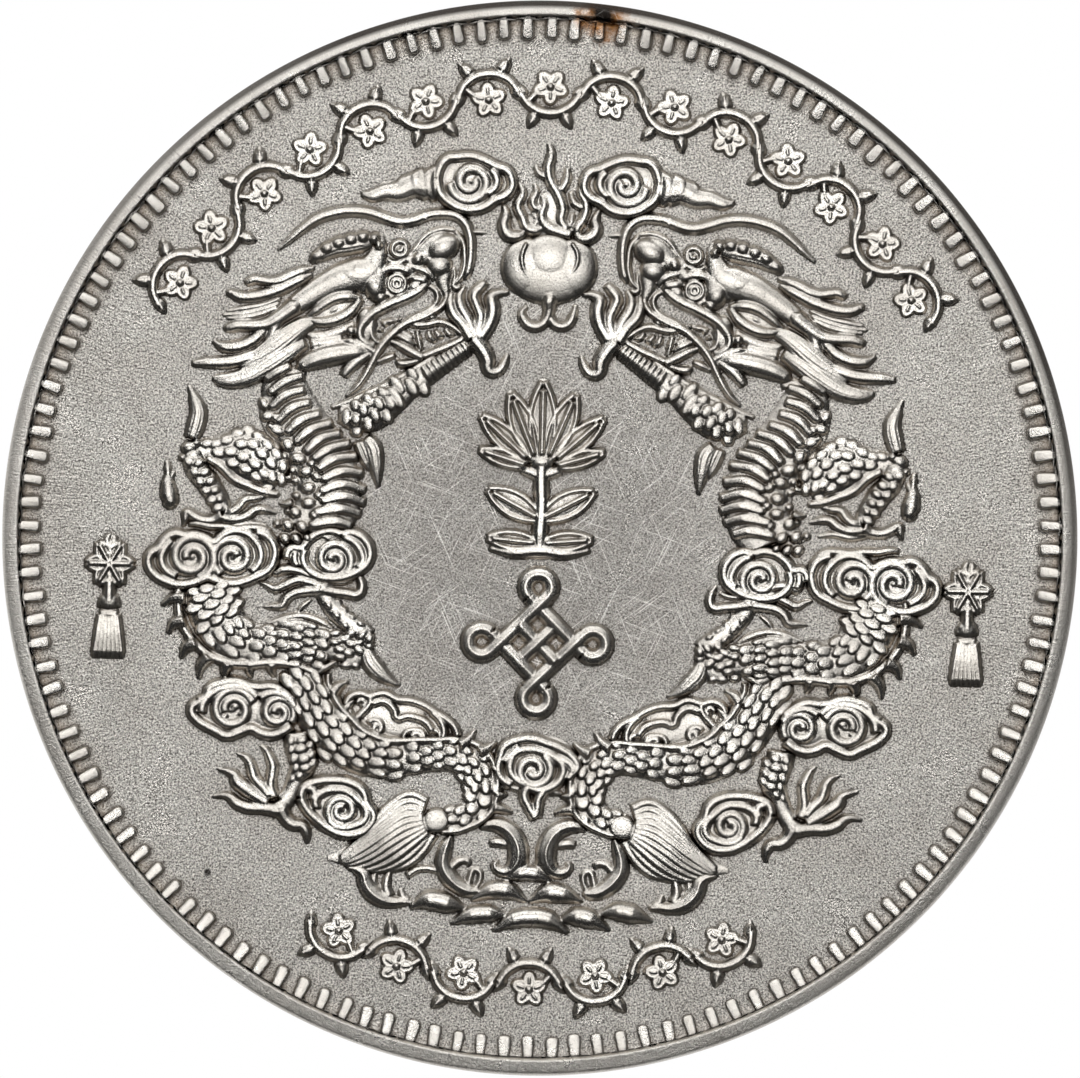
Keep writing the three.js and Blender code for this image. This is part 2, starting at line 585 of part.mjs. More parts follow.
const WAVES = {
  material: "ornament",
  strokes: [
    ...WAVE_HALF,
    ...WAVE_HALF.map(([height, points]) => [height, mirrored(points)]),
    [WAVE_HEIGHT, [
      [-1.45, -14.85, 0.04], [-0.7, -14.6, 0.24], [0, -14.5, 0.3], [0.7, -14.6, 0.24],
      [1.45, -14.85, 0.04],
    ]],
    [WAVE_HEIGHT, [
      [-1.2, -13.1, 0.06], [-0.6, -13.05, 0.22], [0, -13, 0.26], [0.6, -13.05, 0.22],
      [1.2, -13.1, 0.06],
    ]],
    [WAVE_HEIGHT, [[0, -13, 0.2], [0, -13.8, 0.24], [0, -14.6, 0.2]]],
  ],
};

// A lotus in flower, on its stalk between two leaves
const LOTUS = {
  material: "ornament",
  strokes: [
    [ORNAMENT_HEIGHT, [[0, 3.1, 0.2], [0, 4.3, 0.42], [0, 5.3, 0.34], [0, 6.1, 0.05]]],
    [ORNAMENT_HEIGHT, [[-0.2, 3.1, 0.2], [-0.9, 3.9, 0.36], [-1.25, 4.7, 0.28], [-1.2, 5.5, 0.05]]],
    [ORNAMENT_HEIGHT, [[0.2, 3.1, 0.2], [0.9, 3.9, 0.36], [1.25, 4.7, 0.28], [1.2, 5.5, 0.05]]],
    [ORNAMENT_HEIGHT, [[-0.3, 3, 0.2], [-1.3, 3.3, 0.3], [-2, 3.8, 0.24], [-2.5, 4.5, 0.05]]],
    [ORNAMENT_HEIGHT, [[0.3, 3, 0.2], [1.3, 3.3, 0.3], [2, 3.8, 0.24], [2.5, 4.5, 0.05]]],
    [ORNAMENT_HEIGHT, [[0, 3.2, 0.24], [0, 2.2, 0.2], [0, 0.9, 0.2], [0, -0.3, 0.24]]],
    [ORNAMENT_HEIGHT, [[0, 0.6, 0.2], [-0.8, 1.1, 0.24], [-1.6, 1.2, 0.26], [-2.1, 1.9, 0.05]]],
    [ORNAMENT_HEIGHT, [[0, 0.6, 0.2], [0.8, 1.1, 0.24], [1.6, 1.2, 0.26], [2.1, 1.9, 0.05]]],
    [ORNAMENT_HEIGHT, [
      [-1.9, -0.35, 0.1], [-1, -0.5, 0.22], [0, -0.35, 0.26], [1, -0.5, 0.22],
      [1.9, -0.35, 0.1],
    ]],
  ],
};

// Three cords laced across three others, with a loop at each corner, called the endless knot
const KNOT_CENTRE = -4;
const KNOT_PITCH = 1;
const KNOT_CORD = 0.44;
const KNOT_REACH = 1.5;
const KNOT_LOOP_RADIUS = (KNOT_REACH - 1) * KNOT_PITCH;
const KNOT_LOOP_OFFSET = KNOT_REACH * KNOT_PITCH * Math.SQRT2;

function knotCord(offset, hand) {
  const across = (offset * KNOT_PITCH) / Math.SQRT2;
  const reach = offset === 0 ? 1 : KNOT_REACH;
  const half = (reach * KNOT_PITCH) / Math.SQRT2;
  const ends = [-1, 1].map((end) => [
    hand * (end * half + across),
    KNOT_CENTRE + end * half - across,
    KNOT_CORD / 2,
  ]);
  return [ORNAMENT_HEIGHT, ends];
}

function knotLoop(quarter) {
  const towards = (quarter * Math.PI) / 2;
  const steps = 7;
  const points = Array.from({ length: steps + 1 }, (_, i) => {
    const angle = towards - 0.75 * Math.PI + (i / steps) * 1.5 * Math.PI;
    return [
      KNOT_LOOP_OFFSET * Math.cos(towards) + KNOT_LOOP_RADIUS * Math.cos(angle),
      KNOT_CENTRE + KNOT_LOOP_OFFSET * Math.sin(towards) + KNOT_LOOP_RADIUS * Math.sin(angle),
      KNOT_CORD / 2,
    ];
  });
  return [ORNAMENT_HEIGHT, points];
}

const KNOT = {
  material: "ornament",
  strokes: [
    ...[-1, 0, 1].flatMap((offset) => [knotCord(offset, 1), knotCord(offset, -1)]),
    ...[0, 1, 2, 3].map(knotLoop),
  ],
};

// How far the drawn figures reach from the centre, and the scale that brings them to the wreath's size
function drawnReach(figure) {
  return Math.max(
    ...[-1, 1].flatMap((side) => {
      const { strokes, domes } = posed(figure, side);
      return [
        ...strokes.flatMap(([, points]) => points.map(([x, y]) => Math.hypot(x, y))),
        ...domes.map(([x, y, rx]) => Math.hypot(Math.abs(x) + rx, y)),
      ];
    }),
  );
}

const DRAWN_REACH = Math.max(...[...Object.values(LEFT_FIGURES), PEARL, FLAMES, WAVES].map(drawnReach));
const DRAWN_TO_REAL = WREATH_REACH / DRAWN_REACH;

const root = new THREE.Group();

function addNode(name, material, geometry) {
  const mesh = new THREE.Mesh(geometry, materials[material]);
  mesh.name = name;
  root.add(mesh);
  return mesh;
}

// The flan: rims, fields and the reeded edge
function flanSolid() {
  const profile = [
    [0, BACK_RECESS],
    [FIELD_RADIUS, BACK_RECESS],
    [FIELD_RADIUS + RIM_DRAFT, 0],
    [RADIUS - EDGE_BEVEL, 0],
    [RADIUS, EDGE_BEVEL],
    [RADIUS, THICKNESS - EDGE_BEVEL],
    [RADIUS - EDGE_BEVEL, THICKNESS],
    [FIELD_RADIUS + RIM_DRAFT, THICKNESS],
    [FIELD_RADIUS, FRONT_FIELD],
    [0, FRONT_FIELD],
  ].map(([r, z]) => new THREE.Vector2(r, z));
  const lathe = new THREE.LatheGeometry(profile, TOOTH_COUNT / 2);
  lathe.rotateX(Math.PI / 2);
  return toSolid(lathe);
}

// The grooves between the reeds, as one set of wedges to cut from the edge
function reedGrooves() {
  const wedges = Array.from({ length: REED_COUNT }, (_, k) => {
    const angle = ((k + 0.5) / REED_COUNT) * 2 * Math.PI;
    const outline = new THREE.Shape([
      new THREE.Vector2(RADIUS - REED_DEPTH, 0),
      new THREE.Vector2(RADIUS + REED_DEPTH, -REED_WIDTH),
      new THREE.Vector2(RADIUS + REED_DEPTH, REED_WIDTH),
    ]);
    const depth = THICKNESS - 2 * REED_MARGIN;
    const wedge = new THREE.ExtrudeGeometry(outline, { depth, bevelEnabled: false });
    wedge.rotateZ(angle);
    wedge.translate(0, 0, REED_MARGIN);
    return wedge;
  });
  return toSolid(mergeGeometries(wedges));
}

// The ring of teeth that points inwards from the rim
function borderGeometry() {
  const step = (2 * Math.PI) / TOOTH_COUNT;
  const inner = [];
  for (let k = 0; k < TOOTH_COUNT; k++) {
    const angle = k * step;
    const root_half = TOOTH_ROOT_WIDTH / 2 / BORDER_INNER;
    const tip_half = TOOTH_TIP_WIDTH / 2 / TOOTH_TIP_RADIUS;
    for (const [radius, turn] of [
      [BORDER_INNER, -root_half],
      [TOOTH_TIP_RADIUS, -tip_half],
      [TOOTH_TIP_RADIUS, tip_half],
      [BORDER_INNER, root_half],
    ]) {
      inner.push(new THREE.Vector2(radius * Math.cos(angle + turn), radius * Math.sin(angle + turn)));
    }
  }
  const outer = Array.from({ length: TOOTH_COUNT / 2 }, (_, k) => {
    const angle = 2 * k * step;
    return new THREE.Vector2(BORDER_OUTER * Math.cos(angle), BORDER_OUTER * Math.sin(angle));
  });
  const ring = new THREE.Shape(outer);
  ring.holes.push(new THREE.Path(inner));
  return new THREE.ExtrudeGeometry(ring, { depth: TOOTH_HEIGHT, bevelEnabled: false });
}

// Seats a geometry drawn on z = 0 on the dragon face, or turned over on the back face
const onFront = (geometry) => geometry.translate(0, 0, FRONT_FIELD);
const onBack = (geometry) =>
  geometry.applyMatrix4(new THREE.Matrix4().makeScale(-1, 1, -1)).translate(0, 0, BACK_RECESS);

// A waving vine on an arc, with a floret in each bend of the stem
function vineSolid(radius, from, to, florets) {
  const count = 2 * florets;
  const turned = (share) => from + (to - from) * share;
  const at = (share, reach) => [reach * Math.cos(turned(share)), reach * Math.sin(turned(share))];
  const stem = Array.from({ length: count + 1 }, (_, i) => {
    const reach = radius + LEGEND_BAND * 0.3 * Math.sin((i / 2) * Math.PI);
    return [...at(i / count, reach), STEM_WIDTH / 2];
  });
  const size = LEGEND_BAND * 0.4;
  const heads = Array.from({ length: florets }, (_, i) => {
    const share = (i + 0.5) / florets;
    const reach = radius - LEGEND_BAND * 0.1 * Math.sin((i + 0.5) * Math.PI);
    return mound(...at(share, reach), size, size, FLORET_HEIGHT, {
      lobes: 4,
      lobeDepth: 0.3,
      sides: 12,
      turn: from + (to - from) * share,
    });
  });
  return joined([ridge(stem, STEM_HEIGHT), ...heads]);
}

// A hanging knot and tassel, in the place of a side inscription
function tasselSolid(x, y) {
  const parts = [
    ridge([[x, y + 2.3, 0.12], [x, y + 1.2, 0.16], [x, y - 0.6, 0.16]], ORNAMENT_HEIGHT),
    mound(x, y + 1.25, 0.95, 0.72, ORNAMENT_HEIGHT, { lobes: 4, lobeDepth: 0.3, sides: 16 }),
    mound(x, y - 0.25, 0.42, 0.42, ORNAMENT_HEIGHT, { sides: 12 }),
    ridge([[x, y - 0.5, 0.3], [x, y - 1.3, 0.5], [x, y - 2.3, 0.55]], ORNAMENT_HEIGHT),
  ];
  return joined(parts);
}

// Cuts each figure back where those in front of it pass, so that each keeps its own plan
const footprints = [];

function addFigure(name, figure, side = -1) {
  const shape = posed(figure, side);
  let solid = figureSolid(shape);
  for (const front of footprints) solid = solid.subtract(front);
  const largest = solid.decompose().sort((a, b) => b.volume() - a.volume())[0];
  footprints.push(figureFootprint(shape));
  const real = largest.scale([DRAWN_TO_REAL, DRAWN_TO_REAL, 1]);
  addNode(name, shape.material, onFront(toGeometry(real)));
}

addNode("flan", "flan", toGeometry(flanSolid().subtract(reedGrooves())));
addNode("front_border_teeth", "border", onFront(borderGeometry()));
addNode("back_border_teeth", "border", onBack(borderGeometry()));

addFigure("flaming_pearl", PEARL);
addFigure("pearl_flames", FLAMES);
for (const [part, figure] of Object.entries(LEFT_FIGURES)) {
  addFigure(`left_${part}`, figure, -1);
  addFigure(`right_${part}`, figure, 1);
}
addFigure("centre_cloud", CENTRE_CLOUD);
addFigure("waves_and_rocks", WAVES);
addFigure("lotus_ornament", LOTUS);
addFigure("knot_ornament", KNOT);

// The back face isn't seen in the photograph: it has a rosette within a wreath
function rosetteSolid() {
  const petals = Array.from({ length: ROSETTE_PETALS }, (_, k) => {
    const angle = (k / ROSETTE_PETALS) * 2 * Math.PI;
    const along = [
      [0.16, 0.3],
      [0.49, 0.95],
      [0.8, 0.8],
      [1, 0.06],
    ].map(([share, half]) => [
      share * ROSETTE_RADIUS * Math.cos(angle),
      share * ROSETTE_RADIUS * Math.sin(angle),
      half,
    ]);
    return ridge(along, ORNAMENT_HEIGHT);
  });
  return joined([mound(0, 0, 1.6, 1.6, ORNAMENT_HEIGHT + 0.04, { sides: 16 }), ...petals]);
}

// A beaded ring: a plain ridge all the way round, with blossoms seated on it
function wreathSolid() {
  const section = [
    [BACK_WREATH_RADIUS - WREATH_LINE / 2, 0],
    [BACK_WREATH_RADIUS + WREATH_LINE / 2, 0],
    [BACK_WREATH_RADIUS, STRAND_HEIGHT],
    [BACK_WREATH_RADIUS - WREATH_LINE / 2, 0],
  ].map(([r, z]) => new THREE.Vector2(r, z));
  const line = new THREE.LatheGeometry(section, WREATH_SIDES);
  line.rotateX(Math.PI / 2);
  const blossoms = Array.from({ length: WREATH_BLOSSOMS }, (_, k) => {
    const angle = (k / WREATH_BLOSSOMS) * 2 * Math.PI;
    const [x, y] = [BACK_WREATH_RADIUS * Math.cos(angle), BACK_WREATH_RADIUS * Math.sin(angle)];
    const bud = mound(x, y, 0.55, 0.55, ORNAMENT_HEIGHT + 0.03, { sides: 8 });
    const size = BLOSSOM_SIZE;
    const petals = { lobes: 5, lobeDepth: 0.35, sides: 15, turn: angle };
    return mound(x, y, size, size, FLORET_HEIGHT + 0.03, petals).add(bud);
  });
  return joined([toSolid(line), ...blossoms]);
}

const degrees = THREE.MathUtils.degToRad;
const tasselX = LEGEND_RADIUS - TASSEL_INSET;
const topVine = () => toGeometry(vineSolid(LEGEND_RADIUS, degrees(150), degrees(30), TOP_FLORETS));
const bottomVine = () => toGeometry(vineSolid(LEGEND_RADIUS, degrees(240), degrees(300), BOTTOM_FLORETS));
const hungTassel = (x, drop) => toGeometry(tasselSolid(x, -drop * DRAWN_TO_REAL));
addNode("top_vine", "ornament", onFront(topVine()));
addNode("bottom_vine", "ornament", onFront(bottomVine()));
addNode("left_tassel", "ornament", onFront(hungTassel(-tasselX, LEFT_TASSEL_DROP)));
addNode("right_tassel", "ornament", onFront(hungTassel(tasselX, RIGHT_TASSEL_DROP)));
addNode("back_rosette", "ornament", onBack(toGeometry(rosetteSolid())));
addNode("back_wreath", "ornament", onBack(toGeometry(wreathSolid())));

export default root;
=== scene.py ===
import math
import random

import bmesh
import bpy
import numpy as np
from mathutils import Matrix, Vector


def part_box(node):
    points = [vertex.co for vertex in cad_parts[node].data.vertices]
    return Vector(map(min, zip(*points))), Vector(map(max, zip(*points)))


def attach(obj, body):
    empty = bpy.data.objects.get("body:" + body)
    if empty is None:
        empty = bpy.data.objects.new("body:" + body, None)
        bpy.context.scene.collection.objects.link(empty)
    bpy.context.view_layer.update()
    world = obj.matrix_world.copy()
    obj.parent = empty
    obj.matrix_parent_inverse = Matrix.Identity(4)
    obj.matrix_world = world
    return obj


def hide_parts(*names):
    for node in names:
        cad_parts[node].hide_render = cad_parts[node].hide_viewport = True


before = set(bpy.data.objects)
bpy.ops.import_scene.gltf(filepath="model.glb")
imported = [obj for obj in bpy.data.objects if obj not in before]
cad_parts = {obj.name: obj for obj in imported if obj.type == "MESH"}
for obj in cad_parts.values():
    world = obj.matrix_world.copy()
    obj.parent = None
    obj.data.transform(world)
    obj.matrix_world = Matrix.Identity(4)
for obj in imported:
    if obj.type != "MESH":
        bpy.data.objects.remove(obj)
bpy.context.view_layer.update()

# The relief is cut in millimetres on a plane z = 0, which is the coin's field, with +Y at the top of
# the design. Each figure is drawn as punches: ridges, domes and scales. A fine sheet of mesh is then
# pressed down over the punches, as silver is pressed into a die, and goes onto the coin in metres.
MM = 0.001
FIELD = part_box("front_border_teeth")[0][2]
BACK_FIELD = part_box("back_border_teeth")[1][2]

SHEET_PITCH = 0.038
SHEET_MARGIN = 4  # in pitches, round what the punches raise
SHEET_HEIGHT = 2.0
SHEET_SMOOTHING = 2
GROUND_OVERLAP = 1.2
BURIED = -0.02
WALL_FOOT = 0.004
WALL_DEPTH = 0.03
RELIEF_LIMIT = 0.36
BACK_LIMIT = 0.23

PATH_STEPS = 8
CURVE_STEPS = 5
LOOK_AHEAD = 0.05
# a stroke thinner than this in half width spreads, as the foot of a line cut into a die does
THIN_HALF = 0.5
THIN_SPREAD = 0.5
SPIRAL_KNOTS = 10  # in each turn
STRAND_KNOTS = 9
STRAND_SPREAD = 0.85
SCALE_BLUFF = 0.45
SCALE_LAP = 0.64
SCALE_FILL = 0.53
PEBBLE_RISE = -0.02

cut = random.Random(7)


def select_only(*objects):
    for other in bpy.context.selected_objects:
        other.select_set(False)
    for each in objects:
        each.select_set(True)
    bpy.context.view_layer.objects.active = objects[0]


def add_object(name, data):
    added = bpy.data.objects.new(name, data)
    bpy.context.collection.objects.link(added)
    return added


def copy_of(piece, name):
    return add_object(name, piece.data.copy())


def join(objects):
    select_only(*objects)
    if len(objects) > 1:
        bpy.ops.object.join()
    return bpy.context.view_layer.objects.active


def apply_modifier(piece, kind, **settings):
    select_only(piece)
    modifier = piece.modifiers.new(kind.title(), kind)
    for setting, value in settings.items():
        setattr(modifier, setting, value)
    bpy.ops.object.modifier_apply(modifier=modifier.name)


def read_corners(mesh):
    """The mesh's corners as rows of x, y and z."""
    corners = np.empty(len(mesh.vertices) * 3)
    mesh.vertices.foreach_get("co", corners)
    return corners.reshape(-1, 3)


def write_corners(mesh, corners):
    mesh.vertices.foreach_set("co", corners.ravel())


def turned(radians, axis="Z"):
    return Matrix.Rotation(radians, 4, axis)


def heading(degrees):
    """The direction of a bearing, and the direction to its left."""
    way = np.array([math.cos(math.radians(degrees)), math.sin(math.radians(degrees))])
    return way, np.array([-way[1], way[0]])


# ---- paths -------------------------------------------------------------------------------------

def smooth_path(points):
    """A smooth line through [x, y, half width] points, as an array with the distance along it."""
    knots = np.array(points, float)
    padded = np.vstack([2 * knots[0] - knots[1], knots, 2 * knots[-1] - knots[-2]])
    rows = []
    for a, b, c, d in zip(padded, padded[1:], padded[2:], padded[3:]):
        for t in np.linspace(0, 1, PATH_STEPS, endpoint=False):
            rows.append(0.5 * (2 * b + (c - a) * t + (2 * a - 5 * b + 4 * c - d) * t**2
                               + (3 * b - a - 3 * c + d) * t**3))
    rows.append(knots[-1])
    rows = np.array(rows)
    run = np.concatenate([[0], np.cumsum(np.hypot(*np.diff(rows[:, :2], axis=0).T))])
    return rows, run


def at(path, distance):
    """Where the path is after a distance: its point, its direction, and its half width."""
    rows, run = path
    here = [np.interp(distance, run, rows[:, k]) for k in range(3)]
    ahead, behind = ([np.interp(distance + step, run, rows[:, k]) for k in range(2)]
                     for step in (LOOK_AHEAD, -LOOK_AHEAD))
    way = np.array(ahead) - behind
    way /= np.hypot(*way) or 1
    return np.array(here[:2]), way, here[2]


def beside(path, distance, share):
    """A point that lies a share of the half width to the left of the path."""
    here, way, half = at(path, distance)
    return here + share * half * np.array([-way[1], way[0]])


# ---- punches -----------------------------------------------------------------------------------

def ridges(strokes, fullness=1.0, sections=3):
    """Rounded ridges through [x, y, half width, lift] points. Fullness is height over half width."""
    data = bpy.data.curves.new("punch", "CURVE")
    data.dimensions = "3D"
    data.bevel_depth = 1
    data.bevel_resolution = sections
    data.resolution_u = CURVE_STEPS
    data.use_fill_caps = True
    for points in strokes:
        spline = data.splines.new("BEZIER")
        spline.bezier_points.add(len(points) - 1)
        for knot, (x, y, half, *lift) in zip(spline.bezier_points, points):
            knot.co = (x, y, (lift[0] if lift else 0) / fullness)
            knot.radius = half * (1 + THIN_SPREAD * max(0, 1 - half / THIN_HALF))
            knot.handle_left_type = knot.handle_right_type = "AUTO"
    punch = add_object("punch", data)
    select_only(punch)
    bpy.ops.object.convert(target="MESH")
    punch.data.transform(Matrix.Diagonal((1, 1, fullness, 1)))
    return punch


def domes(spots, segments=24, rings=12, bluff=1.0):
    """Round bosses: [x, y, half length, half width, height, turn in degrees, lift, tilt in degrees].

    A bluff under 1 gives each a flatter top and steeper sides.
    """
    bpy.ops.mesh.primitive_uv_sphere_add(segments=segments, ring_count=rings, radius=1)
    ball = bpy.context.object
    for corner in ball.data.vertices:
        corner.co.z = math.copysign(abs(corner.co.z) ** bluff, corner.co.z)
    bosses = []
    for x, y, long, wide, height, *rest in spots:
        turn, lift, tilt = (list(rest) + [0, 0, 0])[:3]
        boss = copy_of(ball, "boss")
        place = Matrix.Translation((x, y, lift)) @ turned(math.radians(turn))
        lean = turned(math.radians(-tilt), "Y")
        boss.data.transform(place @ lean @ Matrix.Diagonal((long, wide, height, 1)))
        bosses.append(boss)
    bpy.data.objects.remove(ball)
    return join(bosses)


def scales(spots, bluff=SCALE_BLUFF):
    return domes(spots, bluff=bluff)


def spiral(x, y, inner, outer, turns, start, hand, half, lift):
    count = max(6, round(turns * SPIRAL_KNOTS))
    points = []
    for i in range(count + 1):
        share = i / count
        angle = math.radians(start) + hand * share * turns * 2 * math.pi
        radius = inner + (outer - inner) * share
        points.append((x + radius * math.cos(angle), y + radius * math.sin(angle), half, lift))
    return points


def coat(points, fullness, along, across, low=-1.0, high=0.88, start=0.0, end=1.0, height=0.1, tilt=10):
    """Rows of overlapping scales over a body drawn as one ridge.

    The rows are laid like bricks from the start to the end of the body, and from its low to its high
    side, both as shares, with the free edges of the scales towards the tail.
    """
    path = smooth_path(points)
    length = path[1][-1]
    spots = []
    row, distance = 0, length * start
    while distance < length * end:
        _, way, half = at(path, distance)
        count = max(1, round(half * (high - low) / across))
        pitch = (high - low) / count
        for k in range(count + row % 2):
            share = low + pitch * (k + 0.5 * (1 - row % 2)) + cut.uniform(-0.06, 0.06) * pitch
            if abs(share) > 1.0:
                continue
            lean = math.sqrt(1 - min(0.95, share**2))
            x, y = beside(path, distance + cut.uniform(-0.08, 0.08) * along, share)
            turn = math.degrees(math.atan2(way[1], way[0])) + cut.uniform(-7, 7)
            grown = cut.uniform(0.9, 1.08)
            narrowing = 0.75 + 0.25 * lean
            spots.append((x, y, along * SCALE_LAP * grown, half * pitch * SCALE_FILL * grown * narrowing,
                          height, turn, half * fullness * lean, tilt))
        row += 1
        distance += along
    return spots


def crown(x, y, bodies):
    """How high the bodies, given as (points, fullness), stand at a place."""
    best = 0.0
    for points, fullness in bodies:
        rows, _ = smooth_path(points)
        gaps = np.hypot(rows[:, 0] - x, rows[:, 1] - y)
        near = gaps.argmin()
        share = gaps[near] / max(rows[near, 2], 0.01)
        if share < 1:
            best = max(best, rows[near, 2] * fullness * math.sqrt(1 - share**2))
    return best


def draped(strokes, bodies, rise):
    """Lays [x, y, half width] strokes over the bodies under them."""
    return [[(x, y, half, crown(x, y, bodies) + rise) for x, y, half in stroke] for stroke in strokes]


def pebbles(spots, bodies, height):
    """Scales placed one by one as [x, y, half length, half width, turn], laid over the bodies."""
    return [(x, y, long, wide, height, turn, crown(x, y, bodies) + PEBBLE_RISE)
            for x, y, long, wide, turn in spots]


def strands(points, fullness, count, half, rise=0.02):
    """Fine hairs laid side by side along one ridge."""
    path = smooth_path(points)
    length = path[1][-1]
    widest = max(point[2] for point in points)
    strokes = []
    for k in range(count):
        share = STRAND_SPREAD * (2 * (k + 0.5) / count - 1)
        stroke = []
        for i in range(STRAND_KNOTS):
            distance = length * i / (STRAND_KNOTS - 1)
            _, _, width = at(path, distance)
            top = width * fullness * math.sqrt(1 - share**2)
            thin = min(1, width / widest + 0.25)
            stroke.append((*beside(path, distance, share), half * thin, top + rise))
        strokes.append(stroke)
    return strokes


# ---- striking ----------------------------------------------------------------------------------

def strike(name, punches, pitch=SHEET_PITCH, level=RELIEF_LIMIT):
    """Presses a fine sheet over the punches and keeps what they raise, as a closed relief.

    It is worn flat at the level, and gets a wall at its foot and a flat underside.
    """
    die = join(punches)
    corners = read_corners(die.data)
    raised = corners[corners[:, 2] > BURIED]
    low = raised.min(axis=0)[:2] - SHEET_MARGIN * pitch
    high = raised.max(axis=0)[:2] + SHEET_MARGIN * pitch
    span = high - low
    middle = (low + high) / 2

    bpy.ops.mesh.primitive_plane_add(size=1, location=(*middle, 0))
    ground = bpy.context.object
    ground.scale = (span[0] * GROUND_OVERLAP, span[1] * GROUND_OVERLAP, 1)
    die = join([die, ground])

    columns, rows = (max(4, round(side / pitch)) for side in span)
    bpy.ops.mesh.primitive_grid_add(x_subdivisions=columns, y_subdivisions=rows, size=1,
                                    location=(*middle, SHEET_HEIGHT))
    sheet = bpy.context.object
    sheet.scale = (span[0], span[1], 1)
    select_only(sheet)
    bpy.ops.object.transform_apply(location=True, rotation=True, scale=True)
    apply_modifier(sheet, "SHRINKWRAP", target=die, wrap_method="PROJECT", use_project_z=True,
                   use_negative_direction=True, use_positive_direction=False)
    heights = read_corners(sheet.data)
    heights[:, 2] = np.minimum(heights[:, 2], level)
    write_corners(sheet.data, heights)
    apply_modifier(sheet, "SMOOTH", factor=0.5, iterations=SHEET_SMOOTHING)
    bpy.data.objects.remove(die)

    shape = bmesh.new()
    shape.from_mesh(sheet.data)
    flat = [f for f in shape.faces if all(v.co.z < WALL_FOOT for v in f.verts)]
    bmesh.ops.delete(shape, geom=flat, context="FACES")
    # faces that touch at a corner only would share an edge of the wall, so those corners go too
    for _ in range(8):
        pinched = [v for v in shape.verts if sum(e.is_boundary for e in v.link_edges) > 2]
        if not pinched:
            break
        bmesh.ops.delete(shape, geom=pinched, context="VERTS")
    border = [e for e in shape.edges if e.is_boundary]
    dropped = bmesh.ops.extrude_edge_only(shape, edges=border)
    for corner in dropped["geom"]:
        if isinstance(corner, bmesh.types.BMVert):
            corner.co.z = -WALL_DEPTH
    loops = [g for g in dropped["geom"] if isinstance(g, bmesh.types.BMEdge) and g.is_boundary]
    bmesh.ops.triangle_fill(shape, edges=loops, use_beauty=False)
    bmesh.ops.recalc_face_normals(shape, faces=shape.faces)
    shape.to_mesh(sheet.data)
    shape.free()
    sheet.name = sheet.data.name = name
    return sheet


def mirrored(piece, name, dx, dy):
    """A copy turned over left to right, for the right dragon, after a small shift of its own."""
    copy = copy_of(piece, name)
    copy.data.name = name
    copy.data.transform(Matrix.Diagonal((-1, 1, 1, 1)) @ Matrix.Translation((dx, dy, 0)))
    copy.data.flip_normals()
    return copy


def ring_of(unit, count, out=0.0):
    """Copies of a unit, moved out and turned to stand evenly round the middle, in its place."""
    copies = []
    for k in range(count):
        each = copy_of(unit, unit.name)
        each.data.transform(turned(k * 2 * math.pi / count) @ Matrix.Translation((out, 0, 0)))
        copies.append(each)
    bpy.data.objects.remove(unit)
    return copies


def seat(piece, node, material, back=False):
    """Puts a struck figure on the coin in metres and names what it stands for."""
    place = Matrix.Translation((0, 0, BACK_FIELD if back else FIELD))
    if back:
        place = place @ turned(math.pi, "Y")
    piece.data.transform(place @ Matrix.Scale(MM, 4))
    piece.data.shade_smooth()
    piece.name = piece.data.name = node + "_struck"
    piece.data.materials.append(material)
    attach(piece, "root")
    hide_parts(node)


# ---- the pearl and its flames ------------------------------------------------------------------

def make_pearl():
    body = domes([
        (0.12, 10.2, 1.7, 1.3, 0.31),
        (-0.72, 10.32, 1.0, 1.12, 0.31),
        (0.95, 10.32, 1.0, 1.12, 0.31),
        (0.11, 10.62, 1.12, 1.0, 0.358),
    ], segments=64, rings=40)
    arcs = ridges([
        [(-0.77, 11.2, 0.04, 0.27), (-0.92, 10.82, 0.05, 0.31), (-0.9, 10.37, 0.05, 0.31),
         (-0.68, 9.9, 0.03, 0.265)],
        [(0.96, 11.24, 0.04, 0.25), (1.17, 10.87, 0.05, 0.3), (1.15, 10.42, 0.05, 0.3),
         (0.9, 10.0, 0.03, 0.26)],
    ], fullness=0.7)
    stem = ridges([
        [(0.3, 9.5, 0.05, 0.1), (0.2, 9.22, 0.24), (0.14, 8.98, 0.24), (0.15, 8.7, 0.17), (0.05, 8.35, 0.14),
         (-0.12, 8.13, 0.14), (-0.47, 8.05, 0.15), (-0.81, 8.3, 0.14), (-0.89, 8.57, 0.1),
         (-0.71, 8.8, 0.04)],
        [(0.13, 8.5, 0.12), (0.44, 8.11, 0.14), (0.85, 8.14, 0.14), (1.07, 8.5, 0.12), (1.15, 8.9, 0.04)],
    ], fullness=1.15)
    return strike("flaming_pearl", [body, arcs, stem])


